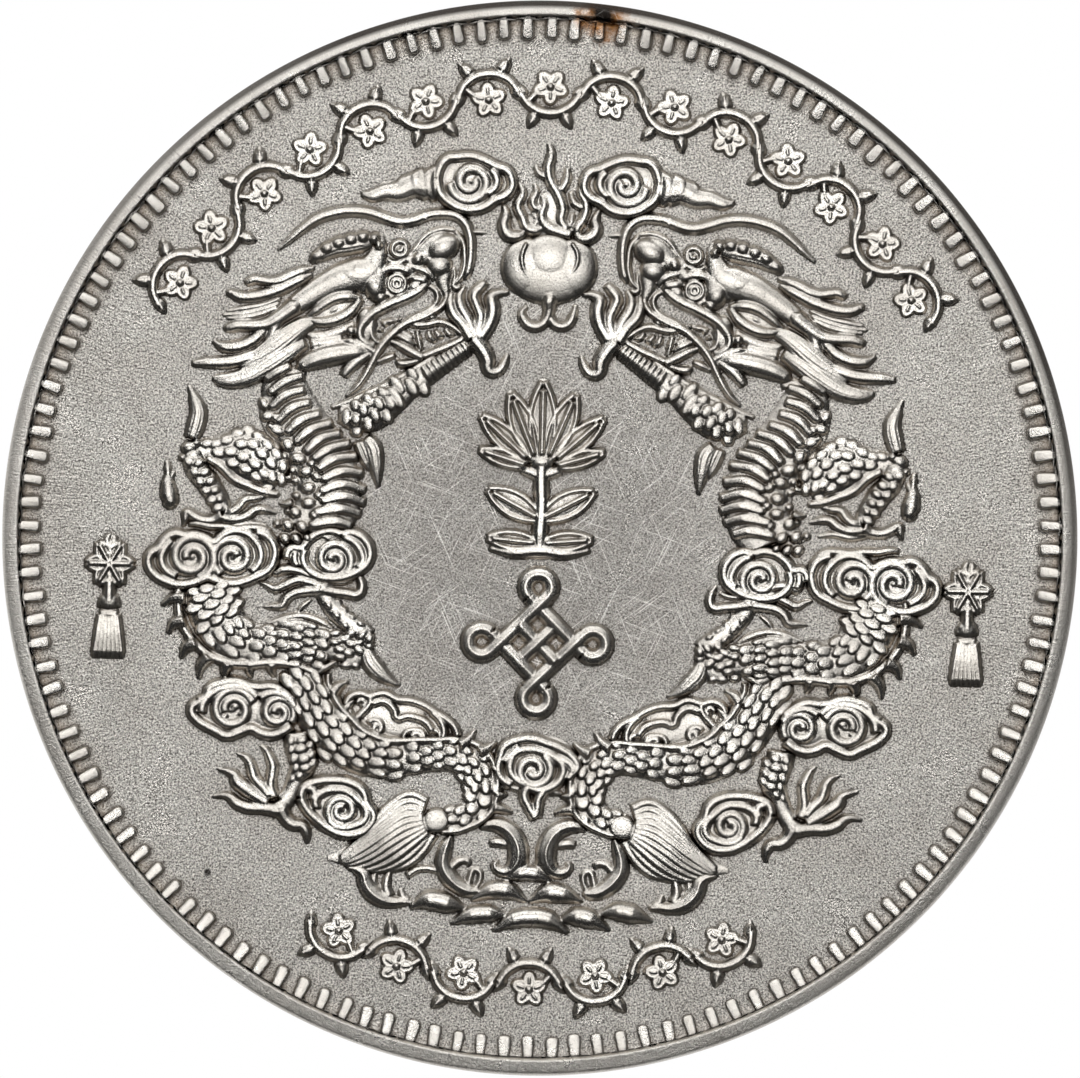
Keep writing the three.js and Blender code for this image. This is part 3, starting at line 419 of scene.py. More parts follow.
def make_flames():
    tongues = ridges([[(x, y, 1.12 * half) for x, y, half in tongue] for tongue in [
        [(-1.66, 12.65, 0.04), (-1.58, 12.27, 0.13), (-1.65, 11.86, 0.17), (-1.45, 11.52, 0.19),
         (-1.07, 11.5, 0.16), (-0.85, 11.62, 0.1)],
        [(-1.12, 13.52, 0.03), (-0.96, 13.15, 0.1), (-1.14, 12.62, 0.13), (-0.94, 12.18, 0.13),
         (-0.78, 11.82, 0.14), (-0.48, 11.72, 0.14), (-0.2, 11.82, 0.1)],
        [(-0.52, 13.48, 0.03), (-0.44, 13.17, 0.08), (-0.58, 12.79, 0.11), (-0.42, 12.56, 0.1),
         (-0.2, 12.7, 0.06)],
        [(-0.25, 13.09, 0.05), (-0.13, 12.72, 0.11), (-0.23, 12.27, 0.13), (-0.03, 11.9, 0.16),
         (0.43, 11.7, 0.17), (0.92, 11.58, 0.15)],
        [(-0.01, 15.06, 0.03), (0.09, 14.61, 0.12), (-0.01, 14.12, 0.14), (0.08, 13.63, 0.14),
         (0.39, 13.11, 0.15), (0.57, 12.59, 0.15), (0.53, 12.14, 0.14), (0.73, 11.78, 0.14)],
        [(-0.5, 14.2, 0.03), (-0.38, 13.92, 0.09), (-0.11, 13.77, 0.1)],
        [(0.71, 14.15, 0.06), (0.72, 13.72, 0.11), (0.5, 13.26, 0.11)],
        [(0.86, 13.2, 0.04), (0.98, 12.82, 0.09), (1.31, 12.61, 0.09)],
        [(1.32, 13.6, 0.03), (1.25, 13.21, 0.11), (1.46, 12.76, 0.13), (1.39, 12.23, 0.13),
         (1.14, 11.8, 0.14), (1.18, 11.6, 0.1)],
        [(1.99, 12.58, 0.04), (1.81, 12.09, 0.13), (1.87, 11.79, 0.18), (1.63, 11.5, 0.19),
         (1.26, 11.46, 0.15), (1.1, 11.64, 0.1)],
        [(-0.5, 12.3, 0.05), (-0.42, 12.05, 0.09), (-0.55, 11.85, 0.08)],
        [(0.95, 12.4, 0.05), (0.92, 12.1, 0.09), (0.85, 11.85, 0.08)],
    ]])
    ember = domes([(0.05, 11.85, 1.35, 0.42, 0.10), (0.1, 12.3, 0.75, 0.9, 0.07)])
    return strike("pearl_flames", [tongues, ember])


# ---- the left dragon ---------------------------------------------------------------------------

def make_whisker():
    line = ridges([
        [(-10.22, 10.76, 0.03), (-9.73, 11.2, 0.1), (-9.31, 11.58, 0.13), (-8.82, 11.94, 0.16),
         (-8.24, 12.17, 0.17), (-7.46, 12.3, 0.17), (-6.76, 12.24, 0.17), (-6.18, 12.06, 0.17),
         (-5.63, 11.93, 0.17), (-5.05, 12.01, 0.16), (-4.55, 12.2, 0.15), (-3.97, 12.27, 0.15),
         (-3.5, 12.21, 0.15), (-3.14, 11.94, 0.14), (-2.96, 11.56, 0.14), (-2.89, 11.01, 0.14),
         (-2.91, 10.47, 0.13), (-3.0, 10.04, 0.12), (-3.1, 9.8, 0.05)],
        [(-2.94, 11.59, 0.07), (-2.63, 11.6, 0.06), (-2.32, 11.57, 0.02)],
        [(-4.72, 12.3, 0.05, 0.12), (-4.6, 12.0, 0.06, 0.12)],
    ])
    return strike("left_whisker", [line])


def make_head():
    skull = ridges([
        # brow and the root of the horn, from the crest's front point
        [(-6.32, 11.4, 0.05), (-6.33, 11.05, 0.17), (-6.43, 10.66, 0.3), (-6.71, 10.11, 0.58),
         (-7.17, 9.89, 0.64), (-7.83, 9.67, 0.6), (-8.44, 9.37, 0.5), (-8.98, 9.02, 0.4),
         (-9.51, 8.64, 0.31), (-9.75, 8.45, 0.12)],
        [(-6.44, 10.15, 0.42), (-6.51, 9.61, 0.46), (-6.42, 9.18, 0.34), (-6.23, 8.84, 0.1)],
        [(-6.71, 9.99, 0.4), (-6.93, 9.56, 0.36), (-7.24, 9.4, 0.2)],
        # snout
        [(-5.32, 10.41, 0.12), (-4.9, 10.5, 0.24), (-4.55, 10.78, 0.34), (-4.21, 11.02, 0.46),
         (-3.98, 11.1, 0.48), (-3.78, 11.03, 0.4)],
        [(-4.51, 10.43, 0.3), (-4.08, 10.44, 0.34), (-3.91, 10.06, 0.28), (-3.91, 9.67, 0.2),
         (-3.82, 9.36, 0.13), (-3.72, 9.07, 0.05)],
    ], fullness=0.46, sections=8)
    bosses = domes([
        (-3.95, 10.98, 0.68, 0.5, 0.34, 28),
        (-4.08, 10.3, 0.5, 0.44, 0.27),
        (-4.88, 10.52, 0.22, 0.3, 0.25, -15),
        (-6.48, 9.55, 0.42, 0.55, 0.27, 10),
        (-7.35, 9.85, 0.7, 0.45, 0.31, -12),
    ], segments=32, rings=20)
    crest_line = [(-8.97, 10.32, 0.08), (-8.59, 10.6, 0.22), (-8.13, 10.86, 0.3), (-7.59, 10.98, 0.32),
                  (-7.05, 11.08, 0.3), (-6.66, 11.16, 0.2)]
    crest = ridges([
        crest_line,
        [(-8.89, 10.45, 0.04), (-8.52, 10.86, 0.09), (-8.06, 11.12, 0.1)],
        [(-7.63, 11.12, 0.05), (-7.36, 11.3, 0.1), (-6.98, 11.38, 0.12), (-6.62, 11.26, 0.08)],
    ], fullness=0.62, sections=5)
    crest_hairs = ridges(strands(crest_line[:-1], 0.62, 4, half=0.045, rise=0.0), fullness=0.8)
    crest_lobes = domes([(-8.7, 10.56, 0.32, 0.22, 0.22, 30), (-8.34, 10.85, 0.33, 0.26, 0.29, 30),
                         (-7.92, 11.05, 0.34, 0.28, 0.32, 20), (-7.46, 11.19, 0.33, 0.28, 0.33, 15),
                         (-7.01, 11.29, 0.3, 0.26, 0.33, 15), (-6.58, 11.26, 0.22, 0.25, 0.32, -40),
                         (-6.4, 11.0, 0.15, 0.22, 0.3)])
    brow = domes([(-6.5, 9.42, 0.42, 0.5, 0.33, 30), (-6.28, 9.02, 0.26, 0.22, 0.27, 30)])
    rings = ridges([
        [(x + r * math.cos(a * math.pi / 6), y + r * math.sin(a * math.pi / 6), 0.07, 0.08)
         for a in range(13)]
        for x, y, r in ((-5.6, 10.89, 0.28), (-5.67, 9.56, 0.33), (-5.67, 9.56, 0.15))
    ] + [[(-5.7, 10.78, 0.06, 0.12), (-5.5, 10.84, 0.07, 0.12), (-5.5, 11.0, 0.05, 0.12)]], fullness=1.2)
    sockets = domes([(-5.6, 10.89, 0.3, 0.3, 0.12), (-5.67, 9.56, 0.38, 0.38, 0.15)])
    lids = ridges([
        [(-6.25, 9.8, 0.05), (-6.12, 10.06, 0.14), (-5.7, 10.17, 0.17), (-5.28, 10.06, 0.14),
         (-5.0, 9.92, 0.05)],
        [(-5.35, 10.24, 0.08), (-4.95, 10.18, 0.13), (-4.5, 10.0, 0.13), (-4.25, 9.75, 0.06)],
        [(-6.06, 10.47, 0.05), (-5.82, 10.35, 0.1), (-5.48, 10.43, 0.09), (-5.21, 10.61, 0.05)],
        [(-6.12, 9.75, 0.04), (-6.17, 9.5, 0.08), (-6.05, 9.21, 0.1), (-5.79, 9.04, 0.08)],
        [(-5.31, 9.78, 0.05), (-5.0, 9.78, 0.15), (-4.64, 9.71, 0.14), (-4.45, 9.6, 0.05)],
        [(-5.35, 9.2, 0.05), (-5.06, 9.45, 0.17), (-4.76, 9.55, 0.12)],
        [(-5.25, 10.61, 0.04), (-4.95, 11.0, 0.06), (-4.68, 11.36, 0.07), (-4.34, 11.58, 0.07),
         (-3.95, 11.68, 0.07), (-3.53, 11.64, 0.04)],
    ])
    ear = ridges([
        [(-9.11, 8.16, 0.04), (-8.77, 8.43, 0.13), (-8.39, 8.73, 0.17), (-7.97, 8.96, 0.19),
         (-7.5, 9.03, 0.18), (-7.03, 8.96, 0.08)],
        [(-9.11, 8.16, 0.05), (-8.68, 8.04, 0.14), (-8.18, 8.07, 0.19), (-7.72, 8.25, 0.19),
         (-7.33, 8.54, 0.17), (-7.03, 8.94, 0.08)],
        [(-8.35, 8.36, 0.05), (-8.05, 8.5, 0.09), (-7.75, 8.7, 0.05)],
    ], fullness=1.1)
    ear_bed = domes([(-8.05, 8.5, 0.85, 0.42, 0.1, 22)])
    mouth_lines = ridges([
        # upper lip back to the corner of the mouth
        [(-4.48, 9.62, 0.05), (-4.71, 9.4, 0.13), (-5.14, 9.13, 0.17), (-5.67, 8.9, 0.18),
         (-6.13, 8.68, 0.18), (-6.56, 8.42, 0.17), (-6.86, 8.12, 0.16), (-7.03, 7.81, 0.14),
         (-7.02, 7.51, 0.13), (-6.78, 7.28, 0.12), (-6.45, 7.18, 0.07)],
        [(-6.06, 8.66, 0.05), (-6.44, 8.36, 0.08), (-6.6, 8.02, 0.08), (-6.6, 7.66, 0.08),
         (-6.45, 7.38, 0.07), (-6.22, 7.28, 0.05)],
        [(-4.43, 9.5, 0.04), (-4.14, 9.26, 0.07), (-4.14, 8.93, 0.07), (-4.42, 8.61, 0.07),
         (-4.88, 8.36, 0.08), (-5.34, 8.14, 0.07)],
        # lower jaw
        [(-5.87, 7.37, 0.07), (-5.48, 7.21, 0.13), (-5.05, 6.98, 0.15), (-4.61, 6.76, 0.13)],
        [(-4.61, 6.82, 0.1), (-4.15, 7.01, 0.12), (-3.61, 7.25, 0.12), (-3.15, 7.5, 0.11),
         (-2.99, 7.63, 0.07)],
        [(-5.62, 6.64, 0.04), (-5.5, 6.54, 0.12), (-5.23, 6.53, 0.12), (-4.92, 6.61, 0.08),
         (-4.61, 6.66, 0.04)],
        # tongue, gums and teeth
        [(-5.34, 8.1, 0.05), (-4.88, 8.0, 0.09), (-4.45, 8.04, 0.1), (-4.02, 8.14, 0.1), (-3.63, 8.03, 0.09),
         (-3.2, 7.74, 0.08), (-3.04, 7.55, 0.05)],
        [(-4.87, 7.78, 0.05), (-4.8, 7.47, 0.08), (-4.7, 7.05, 0.06)],
        [(-4.44, 7.79, 0.06), (-4.36, 7.56, 0.1), (-4.16, 7.41, 0.06)],
        [(-4.17, 7.8, 0.06), (-4.03, 7.63, 0.1), (-3.86, 7.59, 0.05)],
        [(-3.79, 7.88, 0.05), (-3.63, 7.69, 0.08), (-3.43, 7.66, 0.04)],
        [(-5.72, 7.64, 0.05), (-5.45, 7.53, 0.1), (-5.17, 7.39, 0.1), (-4.93, 7.24, 0.05)],
        [(-5.53, 7.77, 0.04), (-5.26, 7.66, 0.07), (-5.02, 7.51, 0.05)],
        [(-6.2, 8.06, 0.04), (-5.89, 8.13, 0.07), (-5.66, 8.15, 0.04)],
        # beard hair that crosses the mouth
        [(-3.75, 9.13, 0.06), (-3.89, 8.81, 0.09), (-4.27, 8.51, 0.1), (-4.76, 8.25, 0.11),
         (-5.27, 8.07, 0.12), (-5.72, 7.72, 0.13), (-6.1, 7.32, 0.13), (-6.36, 6.93, 0.12),
         (-6.55, 6.54, 0.11), (-6.81, 6.03, 0.1), (-7.11, 5.59, 0.08), (-7.51, 5.22, 0.03)],
        [(-6.35, 6.55, 0.06), (-6.01, 6.71, 0.1), (-5.7, 6.83, 0.08)],
        [(-6.4, 6.88, 0.08), (-6.6, 7.02, 0.1), (-7.03, 7.22, 0.12), (-7.42, 7.33, 0.13),
         (-7.69, 7.33, 0.06)],
        # hairs in front of the nose
        [(-3.49, 11.58, 0.05), (-3.2, 11.2, 0.08), (-3.12, 10.7, 0.09), (-3.14, 10.19, 0.09),
         (-3.3, 9.8, 0.08), (-3.55, 9.58, 0.05)],
        [(-3.53, 10.22, 0.04), (-3.48, 9.87, 0.07), (-3.56, 9.64, 0.05)],
        [(-3.59, 9.6, 0.05), (-3.43, 9.45, 0.08), (-3.24, 9.53, 0.06)],
    ], fullness=1.15)
    mouth = domes([(-6.75, 7.9, 0.35, 0.55, 0.12)])
    teeth = domes([(-6.27, 7.78, 0.09, 0.08, 0.12), (-6.1, 8.0, 0.08, 0.08, 0.12),
                   (-5.83, 8.13, 0.12, 0.07, 0.12, 25), (-5.52, 8.2, 0.1, 0.07, 0.12, 20),
                   (-5.95, 7.68, 0.09, 0.06, 0.1), (-4.3, 8.3, 0.16, 0.08, 0.12, 30),
                   (-4.68, 8.42, 0.14, 0.08, 0.12, 30)])
    tufts = ridges([
        # jaw flap, with spikes along its upper edge
        [(-9.38, 6.14, 0.08), (-9.19, 6.35, 0.22), (-8.77, 6.58, 0.32), (-8.23, 6.76, 0.38),
         (-7.65, 6.88, 0.36), (-7.1, 6.95, 0.27), (-6.64, 6.96, 0.1)],
        [(-9.0, 6.6, 0.05), (-8.7, 7.0, 0.11), (-8.51, 7.31, 0.03)],
        [(-8.42, 6.85, 0.1), (-8.08, 7.1, 0.13), (-7.89, 7.3, 0.04)],
        [(-7.76, 7.05, 0.15), (-7.74, 7.3, 0.1), (-7.76, 7.46, 0.03)],
        [(-7.26, 7.02, 0.12), (-7.25, 7.26, 0.08), (-7.31, 7.37, 0.03)],
        # lock below the chin
        [(-6.6, 6.92, 0.1), (-6.94, 6.72, 0.18), (-7.25, 6.48, 0.18), (-7.48, 6.22, 0.16),
         (-7.63, 6.0, 0.12)],
    ], fullness=0.75, sections=5)
    cheek = ridges([
        [(-9.16, 7.66, 0.03), (-8.9, 7.51, 0.12), (-8.51, 7.48, 0.16), (-8.09, 7.59, 0.17),
         (-7.67, 7.78, 0.15), (-7.28, 8.0, 0.08)],
        [(-8.9, 7.2, 0.15), (-8.3, 7.25, 0.2), (-7.7, 7.4, 0.16)],
    ], fullness=0.55, sections=5)
    knobs = domes([(-7.37, 7.72, 0.2, 0.22, 0.24), (-6.86, 8.3, 0.26, 0.36, 0.17, -30)])
    return strike("left_head", [skull, bosses, brow, crest, crest_lobes, crest_hairs, rings, sockets, lids,
                                ear, ear_bed, mouth_lines, mouth, teeth, tufts, cheek, knobs])


def make_mane():
    horn = ridges([
        [(-9.3, 8.8, 0.12), (-9.55, 8.6, 0.3), (-9.97, 8.28, 0.26), (-10.28, 8.06, 0.24),
         (-10.54, 7.92, 0.21), (-10.89, 7.85, 0.19), (-11.32, 7.84, 0.18), (-11.75, 7.82, 0.17),
         (-12.02, 7.73, 0.14)],
        [(-10.08, 8.2, 0.22), (-10.25, 7.85, 0.18), (-10.38, 7.53, 0.17), (-10.51, 7.22, 0.15)],
    ], fullness=0.85, sections=5)
    ends = domes([(-12.05, 7.72, 0.17, 0.17, 0.14), (-10.52, 7.2, 0.17, 0.17, 0.15),
                  (-11.33, 9.5, 0.15, 0.14, 0.13), (-12.0, 9.07, 0.16, 0.15, 0.14)])
    locks = ridges([
        [(-8.85, 10.08, 0.05), (-9.27, 9.97, 0.15), (-9.7, 9.79, 0.18), (-10.08, 9.6, 0.18),
         (-10.47, 9.53, 0.15), (-10.82, 9.57, 0.14), (-11.13, 9.6, 0.13), (-11.3, 9.51, 0.12)],
        [(-8.92, 9.85, 0.05), (-9.27, 9.68, 0.15), (-9.73, 9.45, 0.18), (-10.19, 9.22, 0.19),
         (-10.69, 9.05, 0.19), (-11.19, 8.94, 0.18), (-11.66, 8.94, 0.16), (-11.95, 9.05, 0.13)],
        [(-10.1, 8.9, 0.05), (-10.79, 8.63, 0.08), (-11.49, 8.48, 0.09), (-12.12, 8.35, 0.03)],
        [(-10.15, 8.7, 0.05), (-10.79, 8.46, 0.08), (-11.49, 8.29, 0.08), (-12.25, 8.21, 0.03)],
        [(-10.2, 8.55, 0.05), (-10.86, 8.27, 0.08), (-11.56, 8.13, 0.08), (-12.12, 8.09, 0.03)],
        [(-10.6, 7.75, 0.1), (-10.96, 7.38, 0.19), (-11.34, 7.14, 0.2), (-11.8, 7.0, 0.2),
         (-12.27, 7.02, 0.16), (-12.61, 7.22, 0.05)],
    ], fullness=0.95)
    flows = [
        [(-8.61, 8.08, 0.1), (-9.15, 7.9, 0.3), (-9.64, 7.55, 0.42), (-10.14, 7.15, 0.46), (-10.63, 6.8, 0.4),
         (-11.13, 6.52, 0.3), (-11.59, 6.34, 0.2)],
        [(-9.13, 7.25, 0.2), (-9.71, 6.93, 0.38), (-10.24, 6.55, 0.44), (-10.77, 6.2, 0.4),
         (-11.31, 5.9, 0.34), (-11.85, 5.75, 0.28), (-12.32, 5.74, 0.2), (-12.59, 5.79, 0.08)],
        [(-9.1, 6.0, 0.08), (-9.49, 6.06, 0.16), (-9.87, 5.93, 0.18), (-10.22, 5.65, 0.15),
         (-10.48, 5.34, 0.06)],
    ]
    beard = ridges(flows, fullness=0.5, sections=5)
    smooth_lock = ridges([
        [(-10.5, 7.0, 0.1), (-11.1, 6.7, 0.2), (-11.64, 6.5, 0.21), (-12.26, 6.41, 0.19),
         (-12.88, 6.39, 0.17), (-13.4, 6.34, 0.08)],
        [(-9.49, 6.25, 0.05), (-9.88, 6.1, 0.1), (-10.26, 5.85, 0.1), (-10.41, 5.62, 0.04)],
    ], fullness=0.8)
    beard_hairs = ridges(
        strands(flows[0], 0.5, 6, half=0.055, rise=0.0) + strands(flows[1], 0.5, 6, half=0.055, rise=0.0)
        + strands(flows[2], 0.5, 3, half=0.05, rise=0.0), fullness=0.7)
    return strike("left_mane", [horn, ends, locks, beard, smooth_lock, beard_hairs])


FORE_PAW = [
    [(-2.78, 7.55, 0.2), (-3.15, 8.1, 0.15), (-3.5, 8.5, 0.14), (-3.62, 8.85, 0.12), (-3.6, 9.25, 0.04)],
    [(-2.72, 7.7, 0.18), (-2.95, 8.3, 0.14), (-3.22, 8.75, 0.14), (-3.28, 9.1, 0.11), (-3.1, 9.5, 0.04)],
    [(-2.6, 7.7, 0.18), (-2.45, 8.4, 0.14), (-2.62, 8.85, 0.13), (-2.72, 9.2, 0.13), (-2.5, 9.5, 0.12),
     (-2.3, 9.7, 0.08)],
    [(-2.45, 7.6, 0.18), (-2.1, 8.2, 0.17), (-2.0, 8.7, 0.18), (-2.05, 9.1, 0.16), (-1.85, 9.28, 0.1),
     (-1.42, 9.32, 0.04)],
    [(-2.7, 7.55, 0.22), (-2.4, 7.2, 0.2), (-2.15, 6.75, 0.18), (-2.08, 6.35, 0.15), (-1.8, 6.3, 0.12),
     (-1.55, 6.55, 0.1), (-1.4, 6.95, 0.04)],
]
FOREARM = [(-7.75, 4.55, 0.3), (-7.1, 4.5, 0.62), (-6.5, 4.65, 0.72), (-5.9, 5.05, 0.62), (-5.2, 5.6, 0.46),
           (-4.4, 6.2, 0.37), (-3.8, 6.65, 0.34), (-3.2, 7.15, 0.34), (-2.75, 7.45, 0.3)]


def make_raised_foreleg():
    arm = ridges([FOREARM], fullness=0.36, sections=8)
    skin = scales(coat(FOREARM, 0.36, along=0.34, across=0.66, high=0.62, start=0.05, end=0.62, tilt=8))
    ribs = ridges(draped([
        [(-4.64 + 0.185 * rib, 6.44 + 0.115 * rib, 0.05), (-4.44 + 0.18 * rib, 6.16 + 0.124 * rib, 0.1),
         (-4.23 + 0.171 * rib, 5.84 + 0.135 * rib, 0.07)] for rib in range(9)
    ], [(FOREARM, 0.36)], rise=0.03), fullness=0.85)
    rim = ridges([[(-8.05, 4.78, 0.05), (-7.4, 5.02, 0.09), (-6.8, 5.3, 0.1), (-5.8, 5.8, 0.1),
                   (-4.8, 6.42, 0.09), (-4.2, 6.88, 0.05)]])
    paw = ridges([[(x, y, 1.3 * half) for x, y, half in toe] for toe in FORE_PAW], fullness=0.95)
    palm = domes([(-2.6, 7.6, 0.32, 0.3, 0.28)])
    return strike("left_raised_foreleg", [arm, skin, ribs, rim, paw, palm])


NECK = [(-9.95, 6.0, 0.75), (-9.8, 5.2, 0.95), (-9.45, 4.4, 1.05), (-8.95, 3.6, 1.1), (-8.4, 2.8, 1.12),
        (-8.1, 1.9, 1.2), (-8.15, 1.0, 1.25), (-8.5, 0.3, 1.15), (-8.65, -0.02, 1.1)]
BELLY_PLATES = [
    [(-10.33, 5.34), (-9.82, 5.72), (-9.18, 5.96)],
    [(-10.49, 5.86), (-10.08, 6.12), (-9.66, 6.34)],
    [(-10.28, 4.79), (-9.81, 5.2), (-9.11, 5.43)],
    [(-10.03, 4.25), (-9.55, 4.72), (-8.86, 4.95)],
    [(-9.65, 3.84), (-9.24, 4.24), (-8.48, 4.53)],
    [(-9.31, 3.48), (-8.86, 3.89), (-8.05, 4.18)],
    [(-8.91, 3.13), (-8.52, 3.53), (-7.71, 3.79)],
    [(-8.6, 2.85), (-8.18, 3.16), (-7.35, 3.42)],
    [(-8.43, 2.47), (-8.02, 2.77), (-7.06, 2.94)],
    [(-8.24, 2.08), (-7.67, 2.34), (-6.84, 2.3)],
    [(-8.29, 1.62), (-7.66, 1.86), (-6.73, 1.68)],
    [(-8.22, 1.25), (-7.59, 1.42), (-6.72, 1.2)],
    [(-8.47, 0.79), (-7.76, 0.95), (-6.89, 0.76)],
    [(-8.63, 0.31), (-7.9, 0.47), (-7.2, 0.3)],
]
NECK_SCALES = [
    (-10.62, 4.85, 0.27, 0.2, -60), (-10.45, 4.4, 0.3, 0.22, 10), (-10.11, 3.88, 0.31, 0.24, -20),
    (-9.67, 3.32, 0.28, 0.24, -60), (-9.26, 2.81, 0.31, 0.23, -10), (-8.75, 2.62, 0.17, 0.16, 0),
    (-8.95, 2.32, 0.27, 0.23, 10), (-8.55, 2.13, 0.21, 0.17, -40), (-9.35, 1.95, 0.16, 0.14, 0),
    (-8.85, 1.7, 0.27, 0.23, 10), (-8.46, 1.42, 0.18, 0.15, -30), (-9.3, 1.39, 0.17, 0.15, 0),
    (-8.83, 1.13, 0.27, 0.21, 0), (-9.33, 0.76, 0.25, 0.22, -40), (-8.6, 0.66, 0.2, 0.16, -40),
    (-9.6, 0.26, 0.25, 0.22, -45), (-9.05, 0.22, 0.26, 0.21, -40), (-10.01, 0.3, 0.15, 0.15, 0),
    (-9.7, -0.25, 0.24, 0.2, -50), (-9.27, -0.25, 0.24, 0.18, -50), (-9.46, 2.35, 0.16, 0.15, 0),
    (-10.15, 4.35, 0.2, 0.18, 0), (-9.8, 2.9, 0.18, 0.15, -50), (-10.35, 4.0, 0.16, 0.14, -50),
    (-9.6, 0.8, 0.14, 0.12, 0), (-8.85, -0.2, 0.18, 0.15, -40),
]


def make_neck():
    body = [(NECK, 0.18)]
    trunk = ridges([NECK], fullness=0.18, sections=8)
    throat = ridges([[(-10.5, 4.9, 0.3), (-10.3, 4.2, 0.36), (-9.7, 3.2, 0.4), (-9.1, 2.4, 0.42),
                      (-8.95, 1.5, 0.45), (-9.1, 0.7, 0.5), (-9.55, -0.1, 0.42)]], fullness=0.1, sections=6)
    plates = ridges(draped([[(x, y, half) for (x, y), half in zip(plate, (0.14, 0.17, 0.135))]
                            for plate in BELLY_PLATES], body, rise=0.02), fullness=0.75, sections=4)
    plate_ends = domes([(*plate[0], 0.2, 0.17, 0.14, 0, crown(*plate[0], body) + 0.02)
                        for plate in BELLY_PLATES])
    skin = scales(bluff=0.6, spots=[(x, y, 0.98 * long, 0.95 * wide, 0.15, turn, crown(x, y, body) - 0.01)
                                    for x, y, long, wide, turn in NECK_SCALES])
    fins = ridges([
        [(-9.5, 2.1, 0.1, 0.08), (-9.72, 2.03, 0.09, 0.05), (-9.95, 1.95, 0.03)],
        [(-9.45, 1.15, 0.1, 0.08), (-9.7, 1.05, 0.09, 0.05), (-9.95, 1.1, 0.03)],
    ])
    return strike("left_neck", [trunk, throat, plates, plate_ends, skin, fins])


BENT_THIGH = [(-13.25, 3.0, 0.35), (-12.5, 3.05, 0.52), (-11.7, 3.0, 0.85), (-10.9, 2.8, 1.02),
              (-10.2, 2.4, 0.78), (-9.85, 2.1, 0.5)]
BENT_SHIN = [(-13.35, 2.95, 0.36), (-13.1, 2.3, 0.42), (-12.65, 1.75, 0.4), (-12.3, 1.2, 0.34),
             (-12.05, 0.75, 0.26)]


